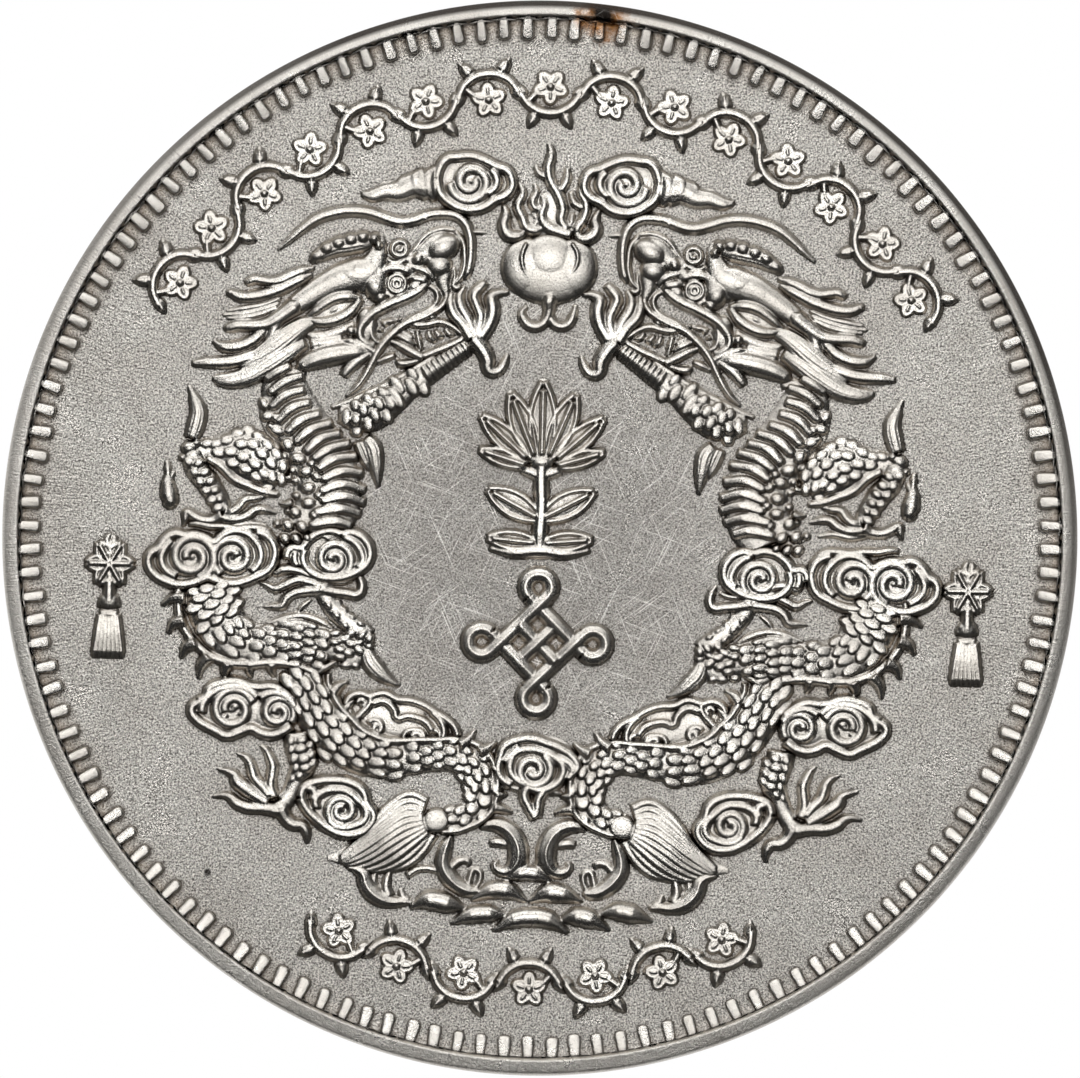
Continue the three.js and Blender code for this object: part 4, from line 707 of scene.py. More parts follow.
def make_bent_foreleg():
    bones = [(BENT_THIGH, 0.27), (BENT_SHIN, 0.6)]
    thigh = ridges([BENT_THIGH], fullness=0.27, sections=8)
    shin = ridges([BENT_SHIN], fullness=0.6, sections=6)
    skin = scales(pebbles([
        (-12.75, 3.3, 0.24, 0.17, 10), (-12.4, 3.3, 0.26, 0.18, 20), (-12.0, 3.45, 0.27, 0.2, 15),
        (-11.6, 3.7, 0.28, 0.2, 10), (-11.2, 3.85, 0.26, 0.18, -15), (-10.8, 3.6, 0.28, 0.2, -30),
        (-10.45, 3.3, 0.28, 0.2, -40), (-10.1, 2.95, 0.27, 0.2, -50), (-9.85, 2.5, 0.26, 0.19, -75),
        (-9.88, 2.0, 0.26, 0.18, -95), (-12.3, 2.95, 0.28, 0.19, -5), (-11.85, 3.0, 0.28, 0.2, 5),
        (-11.45, 3.3, 0.27, 0.2, 10), (-11.0, 3.3, 0.28, 0.21, -15), (-10.65, 2.95, 0.28, 0.21, -30),
        (-10.3, 2.6, 0.27, 0.2, -45), (-10.25, 2.1, 0.27, 0.2, -70), (-11.35, 2.82, 0.29, 0.21, 0),
        (-10.9, 2.55, 0.28, 0.2, -20), (-10.55, 2.2, 0.27, 0.19, -35), (-11.75, 2.55, 0.27, 0.18, 0),
        (-11.25, 2.35, 0.27, 0.18, -10), (-10.85, 2.05, 0.26, 0.17, -20), (-10.4, 1.72, 0.24, 0.15, -20),
    ], bones, height=0.09))
    lines = ridges(draped([
        [(-12.75, 2.75, 0.1), (-12.2, 2.45, 0.14), (-11.7, 1.98, 0.14), (-11.1, 1.72, 0.13),
         (-10.5, 1.5, 0.12), (-10.0, 1.42, 0.06)],
    ], bones, rise=0.02), fullness=0.8)
    bulges = scales(pebbles([
        (-13.42, 2.6, 0.22, 0.2, 8), (-13.05, 2.55, 0.22, 0.17, 30), (-13.2, 2.2, 0.21, 0.18, -10),
        (-12.82, 2.2, 0.24, 0.18, 25), (-12.98, 1.83, 0.2, 0.17, 0), (-12.6, 1.86, 0.22, 0.16, 30),
        (-12.76, 1.48, 0.2, 0.16, 5), (-12.42, 1.52, 0.2, 0.15, 25), (-12.52, 1.14, 0.22, 0.16, 15),
        (-12.22, 1.2, 0.16, 0.14, 20), (-12.28, 0.84, 0.24, 0.15, 20),
    ], [(BENT_SHIN, 0.6)], height=0.13))
    elbow = domes([(-13.42, 3.12, 0.34, 0.28, 0.24, 20), (-13.68, 2.75, 0.16, 0.14, 0.2),
                   (-13.15, 3.3, 0.2, 0.16, 0.24)])
    fin_lines = [(-13.5, 5.48, 0.03), (-13.28, 4.98, 0.17), (-13.12, 4.5, 0.28), (-13.2, 4.0, 0.3),
                 (-13.35, 3.5, 0.24)]
    fin = ridges([fin_lines], fullness=0.55, sections=6)
    fin_hairs = ridges(strands(fin_lines, 0.55, 4, half=0.06, rise=0.0), fullness=0.9)
    paw = ridges([
        [(-12.05, 0.75, 0.2, 0.04), (-11.8, 0.72, 0.15), (-11.47, 0.92, 0.14), (-11.24, 1.2, 0.13),
         (-10.92, 1.25, 0.11), (-10.5, 1.32, 0.03)],
        [(-12.1, 0.5, 0.18, 0.04), (-11.54, 0.45, 0.15), (-11.14, 0.6, 0.15), (-10.83, 0.83, 0.13),
         (-10.51, 0.84, 0.11), (-10.08, 0.72, 0.03)],
        [(-12.1, 0.6, 0.2, 0.04), (-12.4, 0.42, 0.16), (-12.82, 0.38, 0.15), (-13.2, 0.52, 0.15),
         (-13.47, 0.66, 0.12), (-13.52, 0.4, 0.1), (-13.6, 0.14, 0.03)],
        [(-12.3, 0.3, 0.08), (-11.6, 0.2, 0.1), (-10.98, 0.3, 0.09), (-10.4, 0.2, 0.03)],
    ])
    return strike("left_bent_foreleg", [thigh, shin, skin, lines, bulges, elbow, fin, fin_hairs, paw])


def make_elbow_tuft():
    lobes = [[(-6.72, 3.62, 0.2), (-6.45, 3.3, 0.3), (-6.33, 2.8, 0.26), (-6.26, 2.3, 0.16),
              (-6.2, 1.82, 0.03)],
             [(-7.0, 3.5, 0.16), (-6.82, 3.1, 0.2), (-6.68, 2.75, 0.15), (-6.58, 2.45, 0.04)]]
    tuft = ridges(lobes, fullness=0.55, sections=5)
    hairs = ridges(strands(lobes[0], 0.55, 4, half=0.055)
                   + strands(lobes[1], 0.55, 2, half=0.05), fullness=0.9)
    return strike("left_elbow_tuft", [tuft, hairs])


def make_drop():
    drop = ridges([
        [(-14.28, 2.62, 0.04), (-14.24, 2.35, 0.1), (-14.22, 2.05, 0.1), (-14.22, 1.75, 0.2),
         (-14.17, 1.35, 0.28), (-14.13, 1.05, 0.25), (-14.3, 0.85, 0.1)],
        [(-14.15, 1.2, 0.2), (-14.05, 0.9, 0.12)],
        [(-14.0, 2.2, 0.04), (-14.1, 1.95, 0.08), (-14.15, 1.75, 0.08)],
    ], fullness=0.8, sections=5)
    return strike("left_drop", [drop])


SCROLL_BAND = 1.3


def cloud(name, beds, rims, curls, wisps=(), half=0.155, wisp_fullness=1.0):
    """A scrolling cloud: low beds, a lobed rim, and broad scrolls that wind out from their eyes."""
    bed = domes(beds)
    rim = ridges([[(x, y, half, 0.06) for x, y in line] for line in rims], fullness=0.95)
    winding = ridges([[(x, y, wide * SCROLL_BAND, lift) for x, y, wide, lift in spiral(*curl)]
                      for curl in curls], fullness=0.8, sections=4)
    eyes = domes([(x, y, 0.25 * wide, 0.2 * wide, 0.18, 20) for x, y, _, wide, *_ in curls])
    parts = [bed, rim, winding, eyes]
    if wisps:
        parts.append(ridges([[(x, y, w, *(lift or [0.05])) for x, y, w, *lift in line]
                             for line in wisps], fullness=wisp_fullness))
    return strike(name, parts)


def make_side_cloud():
    return cloud("left_side_cloud", [
        (-13.25, -1.05, 1.45, 0.98, 0.14), (-11.5, -0.98, 1.35, 0.95, 0.14), (-14.6, -1.15, 0.38, 0.5, 0.1),
        (-10.6, -0.7, 0.5, 0.75, 0.1),
    ], [
        [(-13.53, -0.24), (-13.89, -0.16), (-14.25, -0.37), (-14.52, -0.74), (-14.83, -0.98), (-14.86, -1.39),
         (-14.61, -1.75), (-14.13, -2.0), (-13.64, -2.1), (-13.13, -2.01), (-12.61, -1.78)],
        [(-12.61, -1.78), (-12.21, -1.93), (-11.72, -2.02), (-11.25, -1.94), (-10.77, -1.73), (-10.33, -1.48),
         (-10.1, -1.04), (-10.1, -0.6), (-10.35, -0.2), (-10.81, 0.0)],
        [(-13.53, -0.24), (-13.13, -0.19), (-12.73, -0.3), (-12.4, -0.45), (-12.09, -0.2), (-11.69, -0.02),
         (-11.29, -0.04), (-10.84, -0.35), (-10.6, -0.8), (-10.68, -1.25), (-10.95, -1.55)],
        [(-14.01, -0.4), (-14.3, -0.78), (-14.39, -1.18), (-14.2, -1.55), (-13.81, -1.8)],
    ], [
        (-13.23, -1.03, 0.2, 0.92, 1.75, 200, -1, 0.14, 0.06),
        (-11.67, -1.0, 0.16, 0.82, 1.6, 20, 1, 0.13, 0.06),
    ], [
        [(-13.38, 0.21, 0.05), (-13.06, 0.24, 0.1), (-12.58, 0.16, 0.11), (-12.1, 0.16, 0.11),
         (-11.53, 0.1, 0.11), (-10.97, 0.14, 0.11), (-10.49, 0.08, 0.1), (-10.08, -0.27, 0.04)],
    ])


def make_chest_cloud():
    return cloud("left_chest_cloud", [(-7.85, -0.85, 1.05, 0.85, 0.14), (-6.95, -0.75, 0.5, 0.7, 0.12),
                                      (-9.2, -0.95, 0.35, 0.35, 0.1)], [
        [(-9.62, -1.02), (-9.56, -0.73), (-9.35, -0.6), (-9.08, -0.61), (-8.86, -0.35), (-8.58, -0.1),
         (-8.22, 0.05), (-7.85, 0.07), (-7.56, -0.04)],
        [(-7.56, -0.04), (-7.27, 0.03), (-6.92, -0.04), (-6.63, -0.27), (-6.46, -0.61), (-6.5, -1.02),
         (-6.73, -1.31), (-7.09, -1.53), (-7.52, -1.68), (-8.03, -1.72), (-8.47, -1.63), (-8.84, -1.36),
         (-9.0, -1.0), (-8.93, -0.65)],
        [(-7.45, -0.12), (-7.06, -0.32), (-6.8, -0.66), (-6.72, -1.02), (-6.9, -1.3)],
        [(-9.2, -1.3), (-9.32, -1.01), (-9.29, -0.76)],
    ], [(-7.83, -1.0, 0.12, 0.74, 1.7, 180, -1, 0.12, 0.06)])


INNER_THIGH = [(-10.2, -4.05, 0.45), (-9.35, -4.12, 0.78), (-8.55, -4.2, 0.74), (-7.82, -4.29, 0.62),
               (-7.24, -4.31, 0.52), (-6.7, -4.2, 0.4)]
INNER_SHIN = [(-8.24, -2.22, 0.24), (-8.01, -2.62, 0.26), (-7.67, -3.01, 0.3), (-7.26, -3.37, 0.34),
              (-6.82, -3.65, 0.36), (-6.45, -3.95, 0.32)]


def make_inner_hindleg():
    bones = [(INNER_THIGH, 0.3), (INNER_SHIN, 0.5)]
    limb = ridges([INNER_THIGH, [(-6.55, -3.9, 0.26), (-6.6, -4.2, 0.34), (-7.0, -4.7, 0.36),
                                 (-7.4, -4.9, 0.25)]],
                  fullness=0.3, sections=8)
    shin = ridges([INNER_SHIN], fullness=0.5, sections=6)
    skin = scales(coat(INNER_THIGH, 0.3, along=0.5, across=0.37, low=-0.9, high=0.84, end=0.62, height=0.11))
    knee = scales(bluff=0.65, spots=pebbles([
        (-7.69, -3.82, 0.24, 0.15, 10), (-7.35, -4.02, 0.26, 0.17, 20), (-7.08, -3.78, 0.26, 0.16, 35),
        (-6.68, -3.85, 0.24, 0.16, 50), (-7.72, -4.15, 0.22, 0.15, -5), (-7.5, -4.42, 0.25, 0.16, -10),
        (-7.08, -4.2, 0.25, 0.17, 0), (-6.76, -4.12, 0.22, 0.16, 30), (-6.4, -3.98, 0.2, 0.17, 60),
        (-7.2, -4.55, 0.24, 0.16, -15), (-6.78, -4.42, 0.26, 0.18, -30), (-6.42, -4.25, 0.2, 0.17, 0),
        (-7.5, -4.72, 0.23, 0.14, -10), (-7.08, -4.84, 0.25, 0.15, -20), (-6.68, -4.72, 0.24, 0.17, -35),
        (-7.3, -5.02, 0.22, 0.13, -5), (-6.92, -5.02, 0.2, 0.13, -20), (-7.75, -4.98, 0.22, 0.13, 0),
    ], bones, height=0.13))
    notches = scales(bluff=0.7, spots=pebbles([
        (-7.62, -2.62, 0.16, 0.1, -40), (-7.38, -2.92, 0.17, 0.11, -40), (-7.08, -3.18, 0.18, 0.11, -35),
        (-6.76, -3.42, 0.18, 0.12, -30), (-7.98, -2.75, 0.18, 0.12, -50), (-7.66, -3.12, 0.2, 0.13, -45),
        (-7.32, -3.5, 0.2, 0.13, -40),
    ], bones, height=0.11))
    folds = ridges(draped([
        [(-10.32, -3.53, 0.04), (-9.88, -3.36, 0.08), (-9.45, -3.24, 0.1), (-8.94, -3.19, 0.1),
         (-8.5, -3.29, 0.1), (-8.13, -3.46, 0.09), (-7.8, -3.66, 0.05)],
        [(-10.1, -3.58, 0.04), (-9.59, -3.47, 0.07), (-9.08, -3.42, 0.07), (-8.57, -3.52, 0.05)],
        [(-9.16, -3.11, 0.03), (-9.02, -2.86, 0.05), (-8.66, -2.56, 0.03)],
    ], bones, rise=0.02), fullness=0.9)
    foot = ridges([
        [(-10.24, -1.42, 0.03), (-10.05, -1.56, 0.1), (-9.78, -1.44, 0.14), (-9.27, -1.43, 0.15),
         (-8.83, -1.57, 0.15), (-8.25, -1.75, 0.13), (-7.59, -1.88, 0.09), (-7.1, -1.75, 0.05)],
        [(-10.63, -1.95, 0.03), (-10.35, -2.04, 0.08), (-10.06, -2.17, 0.12), (-9.62, -2.0, 0.14),
         (-9.19, -1.82, 0.15), (-8.75, -1.88, 0.15), (-8.31, -2.04, 0.17)],
        [(-10.42, -2.88, 0.03), (-10.11, -2.85, 0.09), (-9.77, -2.81, 0.13), (-9.61, -2.55, 0.14),
         (-9.29, -2.32, 0.15), (-8.82, -2.22, 0.16), (-8.31, -2.15, 0.18)],
        [(-8.31, -2.12, 0.2), (-7.8, -2.23, 0.16), (-7.29, -2.28, 0.15), (-6.86, -2.3, 0.15),
         (-6.73, -2.01, 0.13), (-6.83, -1.68, 0.1), (-6.96, -1.48, 0.03)],
    ], fullness=1.05)
    heel = domes([(-8.2, -2.08, 0.3, 0.24, 0.26)])
    fin = [(-6.5, -4.4, 0.18), (-6.38, -4.8, 0.3), (-6.09, -5.16, 0.3), (-5.68, -5.5, 0.18),
           (-5.22, -5.74, 0.03)]
    web = ridges([fin], fullness=0.5, sections=5)
    hairs = ridges(strands(fin, 0.5, 4, half=0.055), fullness=0.8)
    return strike("left_inner_hindleg", [limb, shin, skin, knee, notches, folds, foot, heel, web, hairs])


BODY_COIL = [(-12.55, -2.2, 0.95), (-12.45, -2.6, 1.05), (-12.2, -3.3, 1.0), (-11.6, -4.05, 0.92),
             (-10.7, -4.35, 0.82), (-9.7, -4.35, 0.75), (-8.8, -4.5, 0.62), (-8.0, -4.75, 0.42)]


def make_body_coil():
    body = [(BODY_COIL, 0.25)]
    trunk = ridges([BODY_COIL], fullness=0.25, sections=8)
    skin = scales(coat(BODY_COIL, 0.25, along=0.31, across=0.62, end=0.26, height=0.085)
                  + coat(BODY_COIL, 0.25, along=0.62, across=0.42, start=0.29, end=0.5, high=0.8, height=0.07)
                  + coat(BODY_COIL, 0.25, along=0.5, across=0.4, start=0.53, end=0.97, low=-0.85, high=0.8))
    spine = ridges(draped([[(-13.66, -1.95, 0.08), (-13.72, -2.35, 0.12), (-13.7, -2.9, 0.12),
                            (-13.6, -3.47, 0.13), (-13.28, -4.03, 0.13), (-12.87, -4.47, 0.13),
                            (-12.27, -4.86, 0.13), (-11.54, -5.04, 0.13), (-10.75, -5.05, 0.13),
                            (-10.05, -4.98, 0.12), (-9.33, -5.04, 0.12), (-8.84, -5.18, 0.11),
                            (-8.38, -5.38, 0.1)],
                           [(-8.38, -5.38, 0.08), (-7.96, -5.07, 0.09),
                            (-7.6, -4.88, 0.05)]], body, rise=0.04),
                   fullness=0.85)
    spikes = ridges([
        [(-13.45, -2.6, 0.216, 0.06), (-13.85, -2.6, 0.162, 0.02), (-14.34, -2.9, 0.041)],
        [(-13.45, -3.45, 0.216, 0.06), (-13.85, -3.58, 0.162, 0.02), (-14.08, -3.95, 0.041)],
        [(-13.0, -4.3, 0.216, 0.06), (-13.35, -4.45, 0.162, 0.02), (-13.55, -4.9, 0.041)],
        [(-12.5, -4.8, 0.216, 0.06), (-12.78, -5.15, 0.149, 0.02), (-12.86, -5.65, 0.041)],
        [(-11.75, -5.05, 0.203, 0.06), (-11.87, -5.35, 0.135, 0.02), (-11.8, -5.7, 0.041)],
        [(-10.9, -5.05, 0.189, 0.06), (-10.95, -5.3, 0.108, 0.02), (-10.85, -5.55, 0.041)],
        [(-10.1, -5.05, 0.189, 0.06), (-10.1, -5.28, 0.108, 0.02), (-9.98, -5.5, 0.041)],
    ], fullness=1.1)
    return strike("left_body_coil", [trunk, skin, spine, spikes])


LOWER_BODY = [(-9.3, -5.45, 0.5), (-8.85, -5.95, 0.75), (-8.4, -6.6, 0.9), (-7.95, -7.2, 0.95),
              (-7.3, -7.82, 0.95), (-6.5, -8.3, 0.9), (-5.6, -8.5, 0.75), (-4.5, -8.42, 0.66),
              (-3.6, -8.35, 0.62), (-2.8, -8.45, 0.62), (-2.2, -8.95, 0.62), (-2.0, -9.6, 0.6),
              (-2.25, -10.3, 0.53), (-2.85, -10.78, 0.45), (-3.5, -10.88, 0.42)]


def make_lower_body():
    body = [(LOWER_BODY, 0.27)]
    trunk = ridges([LOWER_BODY], fullness=0.27, sections=8)
    skin = scales(coat(LOWER_BODY, 0.27, along=0.58, across=0.42, high=0.84, end=0.5)
                  + coat(LOWER_BODY, 0.27, along=0.46, across=0.42, high=0.84, start=0.52, end=0.97))
    spine = ridges(draped([
        [(-7.95, -5.35, 0.06), (-7.9, -5.8, 0.09), (-7.7, -6.2, 0.1), (-7.4, -6.65, 0.1), (-7.05, -7.0, 0.1),
         (-6.65, -7.4, 0.1), (-6.1, -7.7, 0.1), (-5.6, -7.84, 0.1), (-5.0, -7.84, 0.1), (-4.4, -7.8, 0.1),
         (-3.7, -7.78, 0.1), (-3.1, -7.74, 0.1), (-2.4, -7.85, 0.1), (-1.85, -8.2, 0.1), (-1.5, -8.75, 0.1),
         (-1.38, -9.4, 0.1), (-1.45, -10.1, 0.1), (-1.8, -10.68, 0.1), (-2.4, -11.05, 0.1),
         (-3.0, -11.25, 0.09), (-3.5, -11.28, 0.06)],
    ], body, rise=0.05), fullness=1.0)
    spikes = ridges([
        [(-7.75, -6.1, 0.192, 0.06), (-7.55, -5.85, 0.16, 0.02), (-7.2, -5.65, 0.048)],
        [(-7.3, -6.75, 0.16, 0.05), (-7.1, -6.5, 0.128, 0.02), (-6.9, -6.3, 0.048)],
        [(-2.85, -7.95, 0.208, 0.06), (-2.55, -7.75, 0.144, 0.02), (-2.3, -7.38, 0.048)],
        [(-2.1, -8.2, 0.208, 0.06), (-1.8, -8.05, 0.144, 0.02), (-1.5, -7.8, 0.048)],
        [(-1.55, -8.9, 0.16, 0.05), (-1.3, -8.7, 0.128, 0.02), (-1.2, -8.4, 0.048)],
        [(-1.5, -10.3, 0.16, 0.05), (-1.2, -10.35, 0.128, 0.02), (-0.82, -10.48, 0.048)],
        [(-1.4, -9.8, 0.128, 0.04), (-1.2, -9.82, 0.096, 0.02), (-1.02, -9.8, 0.032)],
    ], fullness=1.1)
    return strike("left_lower_body", [trunk, skin, spine, spikes])


TAIL_HAIRS = [
    [(-4.05, -10.13), (-4.7, -9.89), (-5.32, -10.2), (-5.92, -10.79), (-6.39, -11.41), (-7.31, -12.27)],
    [(-4.12, -10.34), (-4.73, -10.15), (-5.36, -10.51), (-5.95, -11.04), (-6.53, -11.66), (-7.31, -12.33)],
    [(-4.17, -10.52), (-4.79, -10.44), (-5.41, -10.8), (-6.01, -11.28), (-6.67, -11.91), (-7.31, -12.41)],
    [(-4.19, -10.69), (-4.84, -10.7), (-5.46, -11.09), (-6.06, -11.55), (-6.81, -12.12), (-7.31, -12.48)],
    [(-4.19, -10.83), (-4.86, -10.95), (-5.5, -11.35), (-6.1, -11.79), (-6.85, -12.3), (-7.25, -12.56)],
    [(-4.16, -10.97), (-4.85, -11.19), (-5.49, -11.6), (-6.07, -12.04), (-6.8, -12.44), (-7.18, -12.59)],
    [(-4.12, -11.09), (-4.78, -11.42), (-5.45, -11.84), (-6.01, -12.24), (-6.69, -12.56), (-7.1, -12.67)],
    [(-4.07, -11.19), (-4.7, -11.62), (-5.32, -12.06), (-5.88, -12.42), (-6.49, -12.68), (-6.99, -12.73)],
    [(-3.99, -11.29), (-4.57, -11.8), (-5.15, -12.26), (-5.67, -12.58), (-6.28, -12.78), (-6.84, -12.77)],
    [(-3.89, -11.35), (-4.4, -11.96), (-4.94, -12.42), (-5.47, -12.7), (-5.97, -12.83), (-6.58, -12.82)],
    [(-3.76, -11.39), (-4.18, -12.05), (-4.67, -12.51), (-5.16, -12.73), (-5.67, -12.86)],
]


def make_tail_fan():
    fan = [(-4.1, -10.9, 0.45), (-4.8, -11.2, 0.9), (-5.5, -11.6, 1.0), (-6.3, -12.05, 0.7),
           (-7.0, -12.3, 0.35), (-7.8, -12.4, 0.05)]
    bed = ridges([fan], fullness=0.15, sections=6)
    knob = domes([(-3.69, -10.86, 0.52, 0.47, 0.25, 10)], bluff=0.28)
    tapered = [[(x, y, 0.12 * min(1, 0.3 + 1.2 * (1 - k / (len(line) - 1)))) for k, (x, y) in enumerate(line)]
               for line in TAIL_HAIRS]
    hairs = ridges(draped(tapered, [(fan, 0.15)], rise=0.03), fullness=0.8, sections=4)
    return strike("left_tail_fan", [bed, knob, hairs])


OUTER_SHIN = [(-9.09, -7.62, 0.5), (-9.02, -8.1, 0.52), (-8.82, -8.58, 0.54), (-8.84, -8.98, 0.44),
              (-9.04, -9.38, 0.3), (-9.23, -9.87, 0.26), (-9.5, -10.28, 0.3)]


def make_outer_hindleg():
    bone = ridges([OUTER_SHIN], fullness=0.5, sections=6)
    skin = scales(bluff=0.65, spots=pebbles([
        (-9.28, -7.95, 0.22, 0.17, 60), (-8.88, -7.9, 0.24, 0.18, 20), (-9.27, -8.27, 0.2, 0.16, 80),
        (-8.91, -8.24, 0.28, 0.18, 10), (-8.55, -8.09, 0.22, 0.16, 60), (-8.5, -8.45, 0.2, 0.16, 60),
        (-8.78, -8.62, 0.26, 0.2, 20), (-9.18, -8.63, 0.22, 0.16, 80), (-8.42, -8.77, 0.2, 0.15, 60),
        (-8.73, -8.94, 0.26, 0.2, 10), (-9.09, -8.98, 0.18, 0.14, 80), (-8.93, -9.26, 0.2, 0.15, 40),
        (-9.2, -9.39, 0.16, 0.12, 60),
    ], [(OUTER_SHIN, 0.5)], height=0.1))
    foot = ridges([
        [(-9.88, -10.12, 0.2), (-10.02, -9.73, 0.17), (-10, -9.33, 0.16), (-9.96, -8.92, 0.16),
         (-10.08, -8.61, 0.13), (-10.21, -8.37, 0.1), (-10.43, -8.16, 0.03)],
        [(-10.07, -10.05, 0.2), (-10.32, -9.73, 0.19), (-10.65, -9.38, 0.17), (-10.76, -9.04, 0.16),
         (-10.88, -8.75, 0.12), (-11.04, -8.6, 0.1), (-11.31, -8.5, 0.03)],
        [(-10.12, -10.33, 0.2), (-10.51, -10.1, 0.22), (-10.98, -9.79, 0.24), (-11.31, -9.53, 0.22),
         (-11.45, -9.28, 0.13), (-11.69, -9.16, 0.1), (-12.06, -9.09, 0.03)],
        [(-9.7, -10.6, 0.24), (-10.26, -10.53, 0.2), (-10.9, -10.51, 0.19), (-11.34, -10.34, 0.18),
         (-11.59, -10.13, 0.13), (-11.86, -10.08, 0.09), (-12.21, -10.15, 0.03)],
        [(-9.6, -10.56, 0.26), (-9.41, -10.91, 0.2), (-9.12, -11.13, 0.19), (-8.82, -11.16, 0.16),
         (-8.63, -11.39, 0.14), (-8.59, -11.84, 0.04)],
    ])
    lines = ridges([
        [(-10, -9.65, 0.05, 0.12), (-9.9, -9.24, 0.05, 0.12), (-9.93, -8.84, 0.05, 0.12)],
        [(-10.4, -9.66, 0.05, 0.12), (-10.69, -9.26, 0.05, 0.12), (-10.82, -8.91, 0.05, 0.12)],
        [(-10.67, -10.06, 0.05, 0.12), (-11.12, -9.75, 0.05, 0.12), (-11.37, -9.4, 0.05, 0.12)],
    ], fullness=1.1)
    palm = domes([(-9.6, -10.48, 0.36, 0.32, 0.26)])
    return strike("left_outer_hindleg", [bone, skin, foot, lines, palm])


def make_flank_cloud():
    return cloud("left_flank_cloud", [
        (-11.6, -6.75, 1.3, 0.95, 0.13), (-9.95, -6.85, 0.95, 0.82, 0.13), (-12.5, -6.75, 0.5, 0.6, 0.1),
        (-11.46, -6.68, 0.24, 0.204, 0.2), (-11.21, -6.97, 0.16, 0.136, 0.2),
        (-11.82, -7.06, 0.17, 0.1445, 0.2), (-9.69, -6.75, 0.14, 0.119, 0.2),
    ], [
        [(-12.84, -6.53), (-12.56, -6.33), (-12.43, -6.02), (-11.97, -5.81), (-11.4, -5.75), (-10.93, -5.9),
         (-10.53, -5.94), (-10.05, -5.91), (-9.64, -6.1), (-9.23, -6.42)],
        [(-12.84, -6.53), (-13.09, -6.76), (-13.08, -7), (-12.88, -7.23), (-12.64, -7.4), (-12.17, -7.62),
         (-11.77, -7.81), (-11.29, -7.67), (-10.83, -7.5), (-10.49, -7.66), (-10.08, -7.74), (-9.69, -7.64),
         (-9.29, -7.37)],
        [(-12.73, -6.95), (-12.66, -6.6), (-12.29, -6.18), (-11.81, -5.97), (-11.29, -5.94), (-10.84, -6.11),
         (-10.61, -6.34)],
        [(-10.52, -6.34), (-10.19, -6.17), (-9.8, -6.15), (-9.4, -6.35), (-9.15, -6.66)],
    ], [
        (-11.53, -6.8, 0.3, 0.8, 1.5, 200, -1, 0.12, 0.08),
        (-9.82, -6.88, 0.14, 0.64, 1.6, 180, -1, 0.11, 0.08),
    ], [
        [(-11.9, -5.45, 0.04), (-11.8, -5.65, 0.07), (-11.6, -5.8, 0.08)],
    ])


def make_hip_cloud():
    return cloud("left_hip_cloud", [
        (-6.3, -6.95, 0.8, 0.6, 0.07, -15), (-5.1, -7.1, 1.0, 0.7, 0.07), (-3.9, -7.35, 0.7, 0.4, 0.07, -25),
    ], [
        [(-7.27, -6.55), (-7.08, -6.23), (-6.68, -6.09), (-6.34, -6.18), (-6.12, -6.12), (-5.78, -6.06),
         (-5.27, -6.28), (-4.75, -6.32), (-4.26, -6.48), (-3.78, -6.77), (-3.37, -7), (-3.06, -7.3),
         (-2.94, -7.63)],
        [(-6.22, -6.45), (-5.79, -6.36), (-5.4, -6.65), (-5.25, -6.99), (-4.9, -6.91), (-4.49, -6.97),
         (-4.17, -7.12), (-3.92, -7.43)],
        [(-7.13, -6.71), (-6.88, -7.02), (-6.64, -6.84), (-6.33, -6.45), (-6.29, -6.18)],
        [(-7.26, -6.74), (-6.93, -7.13), (-6.4, -7.48), (-5.76, -7.77), (-5.11, -7.9), (-4.39, -7.86),
         (-3.67, -7.86)],
        [(-3.94, -6.74), (-3.65, -7.01), (-3.48, -7.41), (-3.51, -7.73)],
    ], [
        (-6.07, -7.35, 0.06, 0.24, 0.95, 200, -1, 0.07, 0.05),
        (-4.57, -7.72, 0.1, 0.34, 0.9, 180, -1, 0.075, 0.05),
    ], [
        [(-6.37, -7.2, 0.08), (-6.16, -7.07, 0.08), (-5.87, -7.22, 0.08), (-5.88, -7.46, 0.08),
         (-6.08, -7.52, 0.08), (-6.17, -7.35, 0.08)],
        [(-5.02, -7.86, 0.08), (-4.94, -7.54, 0.08), (-4.58, -7.42, 0.08), (-4.26, -7.55, 0.08),
         (-4.26, -7.81, 0.08), (-4.47, -7.75, 0.08)],
        [(-4.06, -7.47, 0.08), (-3.84, -7.42, 0.08), (-3.63, -7.59, 0.08), (-3.67, -7.78, 0.08)],
        [(-6.83, -6.45, 0.08), (-6.67, -6.32, 0.08), (-6.51, -6.44, 0.08), (-6.63, -6.6, 0.08)],
    ], half=0.11)


def make_tail_cloud():
    return cloud("left_tail_cloud", [(-7.45, -10.5, 1.4, 1.05, 0.13, -20)], [
        [(-8.87, -10.1), (-8.75, -9.71), (-8.28, -9.49), (-7.64, -9.41), (-7, -9.49), (-6.51, -9.8),
         (-6.34, -10.28), (-6.07, -10.74), (-6.22, -11.11), (-6.63, -11.41), (-7.15, -11.47), (-7.59, -11.35),
         (-8.25, -10.9), (-8.64, -10.51), (-8.87, -10.1)],
        [(-8.26, -10.49), (-8.3, -10.17), (-8.09, -9.91), (-7.62, -9.77), (-7.13, -9.82), (-6.73, -10.11),
         (-6.4, -10.46), (-6.39, -10.86), (-6.78, -11.12), (-7.42, -11.19), (-7.8, -10.94)],
        [(-8.6, -9.69), (-8.35, -9.85), (-8.42, -10.17)],
    ], [(-7.28, -10.56, 0.14, 0.6, 1.6, 60, 1, 0.12, 0.07)])


